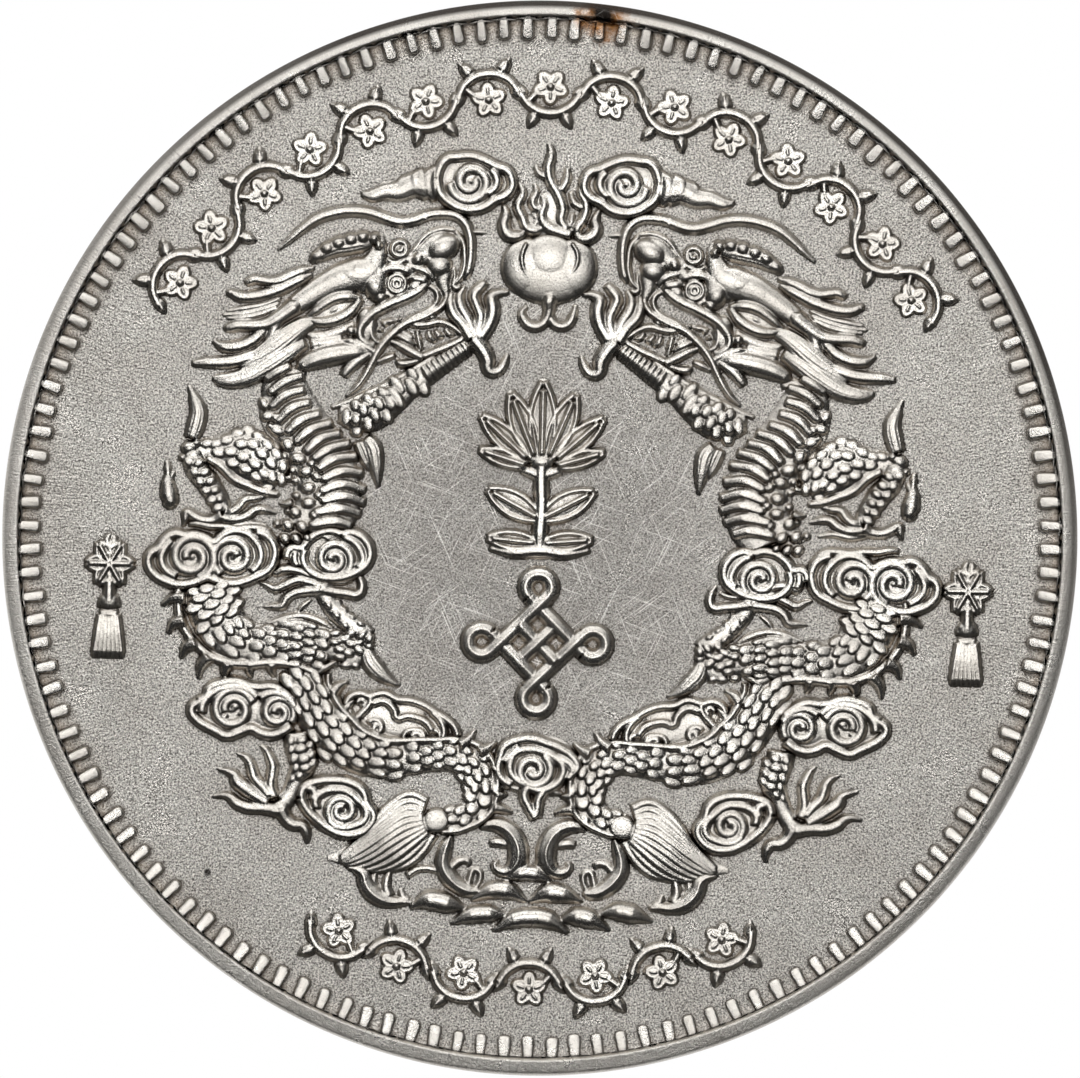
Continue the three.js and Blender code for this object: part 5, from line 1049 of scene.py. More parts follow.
def make_top_cloud():
    return cloud("left_top_cloud", [(-2.9, 13.48, 1.4, 0.98, 0.14), (-4.6, 13.4, 0.8, 0.6, 0.12),
                                    (-5.7, 13.15, 0.7, 0.3, 0.1, -15)], [
        [(-4.25, 13.6), (-4.1, 14.1), (-3.85, 14.38), (-3.48, 14.44), (-2.95, 14.48), (-2.42, 14.32),
         (-1.96, 14.1), (-1.6, 13.98), (-1.4, 13.67), (-1.4, 13.3), (-1.64, 13.0), (-2.01, 12.84),
         (-2.38, 12.58), (-2.83, 12.45), (-3.28, 12.48), (-3.74, 12.7), (-4.1, 13.05), (-4.25, 13.6)],
        [(-2.2, 14.0), (-1.98, 13.7), (-2.0, 13.35), (-2.3, 13.05)],
    ], [(-2.97, 13.5, 0.16, 0.8, 1.6, 40, -1, 0.14, 0.06)], [
        [(-4.2, 13.3, 0.4, 0.0), (-4.7, 13.36, 0.58), (-5.15, 13.34, 0.46), (-5.65, 13.1, 0.34),
         (-6.2, 13.06, 0.24), (-6.7, 12.9, 0.18), (-7.1, 12.95, 0.06)],
        [(-4.3, 14.0, 0.08, 0.1), (-4.55, 13.7, 0.16, 0.2), (-4.55, 13.2, 0.16, 0.21),
         (-4.35, 12.8, 0.08, 0.1)],
        [(-4.8, 13.9, 0.08, 0.08), (-5.05, 13.6, 0.16, 0.18), (-5.02, 13.2, 0.13, 0.18),
         (-4.8, 12.9, 0.05, 0.1)],
        [(-5.4, 13.7, 0.05, 0.05), (-5.6, 13.4, 0.12, 0.12), (-5.5, 13.1, 0.08, 0.13)],
        [(-6.0, 13.36, 0.05, 0.04), (-6.3, 13.12, 0.1, 0.08), (-6.8, 12.96, 0.05, 0.05)],
    ], wisp_fullness=0.45)


# ---- on the middle line ------------------------------------------------------------------------

def make_centre_cloud():
    return cloud("centre_cloud", [(-0.05, -8.86, 1.15, 0.9, 0.16), (0.15, -8.1, 1.25, 0.6, 0.1),
                                  (0.0, -9.4, 0.4, 0.3, 0.1)], [
        [(-0.85, -9.41), (-1.19, -9.22), (-1.38, -8.87), (-1.31, -8.41), (-1.17, -8), (-0.69, -7.73),
         (-0.08, -7.66), (0.43, -7.8), (1.07, -8.05), (1.49, -8.37), (1.64, -8.69), (1.4, -8.98)],
        [(-0.34, -9.4), (-0.71, -9.18), (-0.92, -8.86), (-0.9, -8.53), (-0.76, -8.24), (-0.25, -8.06),
         (0.34, -8.15), (0.77, -8.35), (1.09, -8.69), (1.02, -9.14), (0.68, -9.47), (0.19, -9.6),
         (-0.26, -9.45)],
        [(0.77, -8.35), (1.21, -8.48), (1.46, -8.8), (1.28, -9.16)],
        [(-0.24, -9.5), (-0.36, -9.78), (-0.16, -10.26), (0.09, -10.69)],
        [(0.39, -9.62), (0.2, -9.93), (0.15, -10.31), (0.09, -10.62)],
        [(-1.16, -8.54), (-0.88, -8.24), (-0.6, -7.95)],
    ], [(-0.05, -8.86, 0.14, 0.72, 1.6, 200, 1, 0.13, 0.08)], [
        [(-1.3, -9.52, 0.04), (-0.95, -9.5, 0.08), (-0.55, -9.6, 0.08)],
        [(0.6, -9.72, 0.05), (0.85, -9.68, 0.07), (1.1, -9.75, 0.03)],
    ])


def make_waves():
    scroll_half = [
        [(-1.98, -11.1, 0.04), (-1.7, -10.98, 0.15), (-1.3, -10.98, 0.22), (-0.9, -11.2, 0.27),
         (-0.62, -11.6, 0.3), (-0.52, -12.05, 0.31), (-0.62, -12.45, 0.26), (-0.9, -12.72, 0.17),
         (-1.22, -12.72, 0.13), (-1.42, -12.52, 0.1), (-1.36, -12.34, 0.05)],
        [(-1.62, -11.68, 0.08), (-1.4, -11.62, 0.12), (-1.12, -11.66, 0.12), (-0.85, -11.75, 0.08)],
        [(-0.35, -12.0, 0.14), (-0.3, -12.5, 0.12), (-0.1, -12.8, 0.08)],
        [(-3.12, -11.42, 0.06), (-3.25, -11.75, 0.16), (-3.38, -12.2, 0.2), (-3.38, -12.6, 0.23),
         (-3.15, -13.0, 0.25), (-2.75, -13.35, 0.22), (-2.35, -13.5, 0.18), (-2.0, -13.5, 0.1)],
        [(-3.15, -12.75, 0.1), (-3.0, -12.55, 0.1), (-2.75, -12.36, 0.1), (-2.45, -12.38, 0.08),
         (-2.4, -12.55, 0.04)],
        [(-2.42, -13.4, 0.08), (-2.35, -13.0, 0.07), (-2.2, -12.68, 0.07), (-1.98, -12.78, 0.07),
         (-1.98, -13.1, 0.06), (-2.1, -13.35, 0.06)],
        [(-7.0, -12.74, 0.04), (-6.7, -12.78, 0.13), (-6.42, -12.98, 0.2), (-6.32, -13.3, 0.23),
         (-6.08, -13.65, 0.25), (-5.7, -13.9, 0.22), (-5.3, -14.0, 0.16), (-4.95, -13.98, 0.13),
         (-4.55, -14.0, 0.06)],
        [(-5.4, -12.82, 0.05), (-5.5, -13.1, 0.1), (-5.54, -13.45, 0.12), (-5.42, -13.78, 0.14)],
        [(-4.98, -13.5, 0.04), (-4.92, -13.72, 0.09), (-4.72, -13.92, 0.1), (-4.5, -13.98, 0.04)],
        [(-5.95, -12.88, 0.04), (-6.0, -13.1, 0.07), (-5.95, -13.35, 0.07), (-5.75, -13.52, 0.06)],
    ]
    water = ridges([[(hand * x, y, 1.1 * half) for x, y, half in line] for line in scroll_half
                    for hand in (1, -1)], fullness=0.75, sections=5)
    stones = [
        [(-4.59, -14.16, 0.05), (-3.91, -13.92, 0.36), (-3.19, -14.03, 0.36), (-2.47, -14.17, 0.05)],
        [(-3.05, -14.74, 0.04), (-2.26, -14.44, 0.3), (-1.55, -14.38, 0.3), (-0.92, -14.38, 0.05)],
        [(-1.41, -14.96, 0.05), (-0.63, -14.58, 0.3), (0, -14.48, 0.34), (0.7, -14.57, 0.32),
         (1.44, -14.98, 0.05)],
        [(1.1, -14.54, 0.05), (1.71, -14.42, 0.34), (2.28, -14.51, 0.34), (3, -14.84, 0.04)],
        [(2.58, -14.26, 0.05), (3.29, -14.18, 0.32), (3.85, -14.27, 0.34), (4.62, -14.49, 0.04)],
        [(-2.28, -13.82, 0.05), (-1.57, -13.5, 0.28), (-0.96, -13.47, 0.34), (-0.19, -13.81, 0.05)],
        [(-0.08, -13.83, 0.05), (0.67, -13.53, 0.36), (1.23, -13.58, 0.32), (1.9, -13.78, 0.05)],
        [(-1.07, -13.04, 0.04), (-0.47, -12.82, 0.26), (0.15, -12.83, 0.26), (0.71, -13.06, 0.05)],
    ]
    # each stone's back is lifted a little and its ends go down
    rocks = ridges([[(x, y + (0.03 if half > 0.1 else -0.03), half * 0.95) for x, y, half in line]
                    for line in stones], fullness=0.85, sections=8)
    rims = ridges([[(-4.74, -12.98, 0.09), (-4.33, -12.72, 0.09), (-3.62, -12.76, 0.09),
                    (-2.99, -13.1, 0.09)]],
                  fullness=1.0)
    lines = ridges([[(hand * x, y, 0.05, crown(x, y, [(line, 0.85)]) - 0.01) for x, y, _ in line]
                    for hand in (1, -1) for line in (scroll_half[0], scroll_half[3], scroll_half[6])])
    return strike("waves_and_rocks", [water, rocks, rims, lines])


# ---- ornament ----------------------------------------------------------------------------------

BLADE = ((0, 0.35), (0.25, 0.85), (0.5, 1.0), (0.75, 0.7), (0.92, 0.3), (1.0, 0.06))
BLADE_EDGE = ((0, 0.3), (0.25, 0.85), (0.5, 1.0), (0.75, 0.7), (0.95, 0.12))


def leaf(x, y, length, width, turn, height):
    """A pointed leaf or petal from its root at x, y, with a raised edge and a middle vein."""
    way, side = heading(turn)
    root = np.array([x, y])
    spine = [(*(root + way * length * share), width * swell) for share, swell in BLADE]
    vein = [(*(root + way * length * share), 0.07, height * 0.75) for share in (0.05, 0.35, 0.65, 0.85)]
    edges = [[(*(root + way * length * share + side * hand * width * swell * 0.86), 0.08, height * 0.3)
              for share, swell in BLADE_EDGE] for hand in (-1, 1)]
    return spine, vein, edges


def leaves(places, height):
    blades, lines = [], []
    for place in places:
        spine, vein, edges = leaf(*place, height=height)
        blades.append(spine)
        lines += [vein, *edges]
    widest = max(place[3] for place in places)
    return [ridges(blades, fullness=height * 0.75 / widest, sections=6), ridges(lines, fullness=1.2)]


def make_lotus():
    petals = leaves([
        (0.0, 3.0, 3.1, 0.55, 90), (-0.25, 3.05, 2.75, 0.5, 112), (0.25, 3.05, 2.75, 0.5, 68),
        (-0.5, 2.95, 2.6, 0.42, 138), (0.5, 2.95, 2.6, 0.42, 42), (-0.55, 2.75, 2.0, 0.3, 163),
        (0.55, 2.75, 2.0, 0.3, 17),
    ], height=0.27)
    foliage = leaves([
        (-0.05, 0.75, 2.35, 0.5, 152), (0.05, 0.75, 2.35, 0.5, 28), (-0.1, -0.2, 2.0, 0.36, 175),
        (0.1, -0.2, 2.0, 0.36, 5),
    ], height=0.24)
    stem = ridges([
        [(0, 3.0, 0.22), (0, 2.2, 0.24), (0.04, 1.2, 0.24), (0, 0.2, 0.26), (0, -0.35, 0.2)],
        [(-0.75, 2.62, 0.14), (0, 2.42, 0.2), (0.75, 2.62, 0.14)],
        [(-1.9, -0.42, 0.08), (-1.0, -0.55, 0.2), (0, -0.45, 0.26), (1.0, -0.55, 0.2), (1.9, -0.42, 0.08)],
    ], fullness=0.9)
    seed = domes([(0, 2.9, 0.5, 0.34, 0.28)])
    return strike("lotus", petals + foliage + [stem, seed])


KNOT_CENTRE = -4.0
KNOT_PITCH = 1.0
KNOT_REACH = 1.5  # how far a cord runs from the middle, in pitches
MIDDLE_CORD = 0.68  # how much of that the cord through the middle runs
CORD_HALF = 0.24
CORD_LIFT = 0.02
CORD_WAVE = 0.04
CORD_KNOTS = 13
LOOP_RADIUS = 0.5
LOOP_KNOTS = 12


def make_knot():
    """The endless knot: cords laced over and under one another, with a loop at each corner."""
    reach = KNOT_REACH * KNOT_PITCH / math.sqrt(2)
    cords = []
    for offset in (-1, 0, 1):
        across = offset * KNOT_PITCH / math.sqrt(2)
        for hand in (1, -1):
            cord = []
            for k in range(CORD_KNOTS):
                share = (k / (CORD_KNOTS - 1) * 2 - 1) * (1 if offset else MIDDLE_CORD)
                crossing = share * KNOT_REACH + (0 if hand > 0 else 1)
                wave = math.cos(math.pi * crossing + math.pi * offset)
                cord.append((hand * (share * reach + across), KNOT_CENTRE + share * reach - across,
                             CORD_HALF, CORD_WAVE * wave + CORD_LIFT))
            cords.append(cord)
    corner_reach = KNOT_REACH * KNOT_PITCH * math.sqrt(2)
    for quarter in range(4):
        towards = quarter * math.pi / 2
        loop = []
        for k in range(LOOP_KNOTS):
            angle = towards - 0.75 * math.pi + k / (LOOP_KNOTS - 1) * 1.5 * math.pi
            loop.append((corner_reach * math.cos(towards) + LOOP_RADIUS * math.cos(angle),
                         KNOT_CENTRE + corner_reach * math.sin(towards) + LOOP_RADIUS * math.sin(angle),
                         CORD_HALF, CORD_LIFT))
        cords.append(loop)
    seams = [[(x, y, 0.07, lift + 0.17) for x, y, _, lift in cord] for cord in cords]
    return strike("knot", [ridges(cords, fullness=0.78, sections=5), ridges(seams, fullness=0.8)])


def make_tassel(x, y):
    petals = leaves([(x, y + 1.25, 0.95, 0.3, turn) for turn in range(0, 360, 60)], height=0.2)
    knot = domes([(x, y + 1.25, 0.34, 0.34, 0.24), (x, y - 0.2, 0.4, 0.36, 0.24)])
    cord = ridges([
        [(x, y + 2.4, 0.06), (x - 0.12, y + 2.1, 0.13), (x + 0.1, y + 1.8, 0.14)],
        [(x + 0.12, y + 2.35, 0.05), (x + 0.14, y + 2.1, 0.12), (x - 0.1, y + 1.8, 0.13)],
        [(x, y + 0.6, 0.18), (x, y - 0.2, 0.18)],
        [(x - 0.42, y - 0.28, 0.08), (x, y - 0.36, 0.14), (x + 0.42, y - 0.28, 0.08)],
        [(x - 0.34, y - 0.62, 0.1), (x, y - 0.68, 0.13), (x + 0.34, y - 0.62, 0.1)],
    ], fullness=1.1)
    fringe = ridges([[(x + k * 0.11, y - 0.7, 0.09, 0.02), (x + k * 0.14, y - 1.4, 0.11, 0.02),
                      (x + k * 0.17, y - 2.1, 0.1), (x + k * 0.175, y - 2.36, 0.04)]
                     for k in range(-3, 4)], fullness=1.2)
    skirt = ridges([[(x, y - 0.6, 0.35), (x, y - 1.4, 0.5), (x, y - 2.2, 0.55)]], fullness=0.2)
    return strike("tassel", petals + [knot, cord, fringe, skirt])


# A length of the waving vine, drawn straight: the stem crosses the band and a flower fills the bend.
VINE_PITCH_DEGREES = 8.0
VINE_RADIUS = 17.0
VINE_SHEET_PITCH = 0.032
FLOWER = np.array([0.0, -0.2])
PETAL_OUTLINE = ((0.12, -0.06), (0.3, -0.19), (0.5, -0.16), (0.62, 0.0), (0.5, 0.16), (0.3, 0.19),
(0.12, 0.06))
VINE_BLADE = ((0, 0.4), (0.3, 0.95), (0.6, 0.8), (0.85, 0.35), (1.0, 0.05))


def make_vine_length():
    half = math.radians(VINE_PITCH_DEGREES) * VINE_RADIUS / 2
    stem = ridges([
        [(-half, 0.0, 0.13), (-half * 0.62, 0.56, 0.14), (0, 0.8, 0.15), (half * 0.62, 0.56, 0.14),
         (half, 0.0, 0.13)],
        [(-half * 0.75, 0.42, 0.1), (-half * 0.5, 0.1, 0.1), (-half * 0.3, -0.1, 0.08)],
    ], fullness=1.05)
    eye = domes([(*FLOWER, 0.17, 0.17, 0.22)])
    petal_spots, edges = [], []
    for turn in range(90, 450, 72):
        way, side = heading(turn)
        petal_spots.append((*(FLOWER + 0.36 * way), 0.3, 0.23, 0.12, turn))
        edges.append([(*(FLOWER + way * out + side * across), 0.05, 0.05) for out, across in PETAL_OUTLINE])
        edges.append([(*(FLOWER + way * out), 0.035, 0.1) for out in (0.2, 0.34, 0.46)])
    petals = domes(petal_spots, bluff=0.35)
    petal_edges = ridges(edges, fullness=1.0)
    blades, veins = [], []
    for x, y, length, width, turn in (
            (-half * 0.42, 0.72, 0.8, 0.2, 122), (half * 0.42, 0.72, 0.8, 0.2, 58),
            (-half * 0.8, 0.25, 0.75, 0.18, 238), (half * 0.8, 0.25, 0.75, 0.18, -58)):
        root, (way, _) = np.array([x, y]), heading(turn)
        blades.append([(*(root + way * length * share), width * swell) for share, swell in VINE_BLADE])
        veins.append([(*(root + way * length * share), 0.04, 0.12) for share in (0.05, 0.4, 0.75)])
    sprigs = [ridges(blades, fullness=0.75, sections=5), ridges(veins, fullness=1.0)]
    return strike("vine_length", [stem, eye, petals, petal_edges] + sprigs, pitch=VINE_SHEET_PITCH)


def bent_onto_arc(piece, degrees, flipped):
    """Bends a straight length onto its arc, on the other hand of the stem when flipped."""
    corners = read_corners(piece.data)
    angle = math.radians(degrees) - corners[:, 0] / VINE_RADIUS
    radius = VINE_RADIUS + (-corners[:, 1] if flipped else corners[:, 1])
    corners[:, 0], corners[:, 1] = radius * np.cos(angle), radius * np.sin(angle)
    write_corners(piece.data, corners)
    if flipped:
        piece.data.flip_normals()


def make_vine(first, last, count):
    unit = make_vine_length()
    lengths = [copy_of(unit, "vine_length") for _ in range(count)]
    for k, length in enumerate(lengths):
        bent_onto_arc(length, first + (last - first) * (k + 0.5) / count, k % 2 == 1)
    bpy.data.objects.remove(unit)
    return join(lengths)


# ---- the toothed border and the blank ----------------------------------------------------------

TOOTH_COUNT = 136
TOOTH_TOP = 19.83
INNER_HALF, OUTER_HALF = 0.26, 0.19
FRONT_TOOTH, BACK_TOOTH = 1.3, 0.9
FAINT_BEARING = 277
FAINT_REACH = 14  # in degrees to each side


def strength(degrees):
    """How strongly the front border was struck: full nearly all round, faint at the foot."""
    away = abs((degrees - FAINT_BEARING + 180) % 360 - 180)
    return min(1.0, 0.3 + 0.7 * max(0, away - FAINT_REACH) / 50)


def make_tooth():
    """One border tooth: a flat-topped bar with steep sides and a round inner end."""
    bpy.ops.mesh.primitive_cylinder_add(vertices=14, radius=1, depth=0.06, location=(0, 0, 0))
    tooth = bpy.context.object
    for corner in tooth.data.vertices:
        inner = corner.co.y < 0
        half = INNER_HALF if inner else OUTER_HALF
        corner.co.x = half * math.copysign(abs(corner.co.x) ** 0.55, corner.co.x)
        corner.co.y = -0.58 + 0.27 * corner.co.y if inner else 0.1 - 0.03 * (1 - corner.co.y)
    select_only(tooth)
    bpy.ops.object.mode_set(mode="EDIT")
    bpy.ops.mesh.select_all(action="DESELECT")
    shape = bmesh.from_edit_mesh(tooth.data)
    for face in shape.faces:
        face.select_set(face.normal.z > 0.9)
    bmesh.update_edit_mesh(tooth.data)
    for thickness, depth in ((0.012, 0.1), (0.03, 0.06), (0.06, 0.025)):
        bpy.ops.mesh.inset(thickness=thickness, depth=depth)
    bpy.ops.object.mode_set(mode="OBJECT")
    return tooth


def make_border(back=False):
    tooth = make_tooth()
    teeth = []
    for k in range(TOOTH_COUNT):
        degrees = k * 360 / TOOTH_COUNT
        height = BACK_TOOTH if back else FRONT_TOOTH * strength(degrees)
        each = copy_of(tooth, "tooth")
        grown = Matrix.Diagonal((cut.uniform(0.88, 1.08), cut.uniform(0.93, 1.05),
                                 height * cut.uniform(0.85, 1.05), 1))
        lean = turned(math.radians(cut.uniform(-4, 4)))
        tip = turned(math.radians(cut.uniform(-4, 4)), "Y") @ turned(math.radians(-1.5), "X")
        place = (turned(math.radians(degrees - 90))
                 @ Matrix.Translation((cut.uniform(-0.02, 0.02), TOOTH_TOP, 0)))
        each.data.transform(place @ lean @ tip @ grown)
        teeth.append(each)
    bpy.data.objects.remove(tooth)
    return join(teeth)


# the front half of the blank's outline, as radius and height over the front field
FRONT_OUTLINE = [
    (0.0, 0), (6.0, 0), (12.0, 0), (17.0, 0), (19.3, 0), (19.68, 0), (19.77, 0.012), (19.8, 0.09),
    (19.825, 0.18), (19.855, 0.26), (19.89, 0.32), (19.93, 0.362), (19.97, 0.373), (20.01, 0.369),
    (20.07, 0.347), (20.13, 0.315), (20.19, 0.275), (20.24, 0.23), (20.3, 0.17), (20.37, 0.1),
    (20.43, 0.04), (20.475, -0.01), (20.492, -0.05), (20.5, -0.1), (20.5, -0.14),
]
RIM_FOOT, RIM_CREST, RIM_EDGE, RIM_LIMIT = 19.76, 19.93, 20.4, 0.3745
WORN_RIM, WORN_RIPPLE = 0.34, 0.03
EDGE_FOOT = 0.45
REED_RADIUS, REED_FOOT, REED_DEPTH, REED_ROUNDNESS = 20.497, 0.35, 0.13, 0.6


def make_flan():
    """The blank: fields, rims and reeded edge as one turned skin, uneven round the rim as struck."""
    front, back, top = FIELD / MM, BACK_FIELD / MM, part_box("flan")[1][2] / MM
    outline = [(radius, front + height) for radius, height in FRONT_OUTLINE] + [
        (20.5, (top + EDGE_FOOT) / 2), (20.5, EDGE_FOOT), (20.5, 0.32), (20.49, 0.2), (20.45, 0.1),
        (20.38, 0.04), (20.28, 0.006), (20.15, 0.0), (20.02, 0.006), (19.94, 0.05), (19.88, 0.14),
        (19.84, back - 0.01), (19.72, back), (17.0, back), (10.0, back), (0.0, back),
    ]
    data = bpy.data.meshes.new("blank")
    data.from_pydata([(r, 0, z) for r, z in outline], [(k, k + 1) for k in range(len(outline) - 1)], [])
    blank = add_object("blank", data)
    apply_modifier(blank, "SCREW", angle=2 * math.pi, steps=TOOTH_COUNT * 8, render_steps=TOOTH_COUNT * 8,
                   use_merge_vertices=True, merge_threshold=1e-4, use_smooth_shade=True)

    corners = read_corners(blank.data)
    x, y, z = corners.T
    radius, angle = np.hypot(x, y), np.arctan2(y, x)
    # the rim is a narrow round ridge falling away steeply high up, and a broad flat slope low down
    full = np.clip(0.55 + 0.62 * np.cos(angle - math.radians(75)), 0, 1)
    worn = WORN_RIPPLE * (0.5 + 0.25 * np.sin(5 * angle + 1) + 0.25 * np.sin(13 * angle))
    rim = (z > front - 0.03) & (radius > RIM_FOOT)
    broad = (front + WORN_RIM - 0.2 * np.clip(radius - RIM_CREST, 0, 1)
             - 1.8 * np.clip(radius - RIM_EDGE, 0, 1) - worn)
    slope = np.where(radius > RIM_CREST, broad, np.minimum(z, front + WORN_RIM - worn))
    ripple = 0.006 * (np.sin(31 * angle) + np.sin(47 * angle + 2) + np.sin(83 * angle + 1))
    z[rim] = (full * z + (1 - full) * slope + np.minimum(0, ripple))[rim]
    z[rim] = np.minimum(z[rim], front + RIM_LIMIT)
    edge = (radius > REED_RADIUS) & (z > REED_FOOT) & (z < front - 0.12)
    pull = REED_DEPTH * (1 - (0.5 + 0.5 * np.cos(angle * TOOTH_COUNT)) ** REED_ROUNDNESS)
    shrink = np.where(edge, (radius - pull) / np.maximum(radius, 1), 1.0)
    x *= shrink
    y *= shrink
    write_corners(blank.data, corners)

    select_only(blank)
    bpy.ops.object.mode_set(mode="EDIT")
    bpy.ops.mesh.select_all(action="SELECT")
    bpy.ops.mesh.remove_doubles(threshold=1e-4)
    bpy.ops.mesh.normals_make_consistent(inside=False)
    bpy.ops.object.mode_set(mode="OBJECT")
    blank.data.transform(Matrix.Scale(MM, 4))
    return blank


# ---- the back face, with a rosette in a wreath -------------------------------------------------

WREATH_RADIUS = 11.0
SPRIG_PLACES = 40


def make_rosette():
    petal = strike("petal", leaves([(0.9, 0, 4.0, 0.95, 0)], height=0.17)
                   + leaves([(0.9, 0, 2.3, 0.5, 0)], height=0.2), level=BACK_LIMIT)
    seeds = [(1.12 * math.cos(k * math.pi / 6), 1.12 * math.sin(k * math.pi / 6), 0.2, 0.2, 0.2)
             for k in range(12)]
    heart = [(0, 0, 1.6, 1.6, 0.16), *seeds, (0, 0, 0.6, 0.6, 0.22)]
    return join(ring_of(petal, 8) + [strike("heart", [domes(heart)], level=BACK_LIMIT)])


def make_wreath():
    blossom = strike("blossom", leaves([(0.35, 0, 1.25, 0.5, 0)], height=0.2)
                     + leaves([(0.35 * math.cos(a), 0.35 * math.sin(a), 1.25, 0.5, math.degrees(a))
                               for a in (1.2566, 2.5133, 3.7699, 5.0265)], height=0.2)
                     + [domes([(0, 0, 0.5, 0.5, 0.2), (0, 0, 0.25, 0.25, 0.23)])], level=BACK_LIMIT)
    parts = ring_of(blossom, 8, out=WREATH_RADIUS)
    bpy.ops.mesh.primitive_torus_add(major_radius=WREATH_RADIUS, minor_radius=0.15, major_segments=256,
                                     minor_segments=12)
    parts.append(bpy.context.object)
    places = []
    for k in range(SPRIG_PLACES):
        if k % 5:
            a = k * math.pi / 20 + 0.05
            places += [(11 * math.cos(a), 11 * math.sin(a), 0.95, 0.26, math.degrees(a) + lean)
                       for lean in (50, 230)]
    parts.append(strike("sprigs", leaves(places, height=0.17), level=BACK_LIMIT))
    return join(parts)


# ---- silver ------------------------------------------------------------------------------------

STAIN = (1.93, 19.96)
PIT = (-12.36, -13.04)
WARM_TONING = (0.44, 0.335, 0.235, 1)
# painted shade: the dark laid at the feet of the relief and on the rim's outer slope
PAINTED_SHADE_DARK = (0.03, 0.022, 0.016, 1)
STAIN_BROWN = (0.36, 0.17, 0.06, 1)
STAIN_BLACK = (0.015, 0.012, 0.01, 1)
PIT_FLOOR = (0.05, 0.045, 0.04, 1)
FLECK = (0.1, 0.09, 0.08, 1)
BRIGHT = (1.0, 0.97, 0.92, 1)
# painted shade for the middle of the field
MIDDLE_SHADE = (0.2, 0.185, 0.17, 1)
HAIRLINE_TURNS = (24, 71, 128, 155)
HAIRLINE_LENGTH, HAIRLINE_WIDTH = 26, 0.32


class Recipe:
    """A material's nodes, added one by one; a socket given as an input is linked, a number is set."""

    def __init__(self, name):
        self.material = bpy.data.materials.new(name)
        self.material.use_nodes = True
        self.tree = self.material.node_tree
        self.tree.nodes.clear()

    def add(self, kind, inputs, **settings):
        made = self.tree.nodes.new("ShaderNode" + kind)
        for key, value in settings.items():
            setattr(made, key, value)
        for key, value in inputs.items():
            if isinstance(value, bpy.types.NodeSocket):
                self.tree.links.new(value, made.inputs[key])
            else:
                made.inputs[key].default_value = value
        return made

    def calc(self, operation, *values):
        return self.add("Math", dict(enumerate(values)), operation=operation).outputs[0]

    def vector(self, operation, *values, result="Vector"):
        return self.add("VectorMath", dict(enumerate(values)), operation=operation).outputs[result]

    def noise(self, vector, scale, detail=3.0, roughness=0.6):
        return self.add("TexNoise", {"Vector": vector, "Scale": scale, "Detail": detail,
                                     "Roughness": roughness}).outputs["Fac"]

    def span(self, value, low, high, to_low=0.0, to_high=1.0):
        return self.add("MapRange", {"Value": value, "From Min": low, "From Max": high, "To Min": to_low,
                                     "To Max": to_high}).outputs["Result"]

    def blend(self, factor, first, second):
        return self.add("Mix", {"Factor": factor, "A": first, "B": second},
                        data_type="RGBA").outputs["Result"]

    def distance(self, in_mm, centre, stretch):
        placed = self.add("Mapping", {"Vector": in_mm, "Scale": (1 / stretch[0], 1 / stretch[1], 0),
                                      "Location": (-centre[0] / stretch[0], -centre[1] / stretch[1], 0)})
        return self.vector("LENGTH", placed.outputs["Vector"], result="Value")

    def shaded(self, distance):
        return self.add("AmbientOcclusion", {"Distance": distance * MM}, samples=6).outputs["AO"]


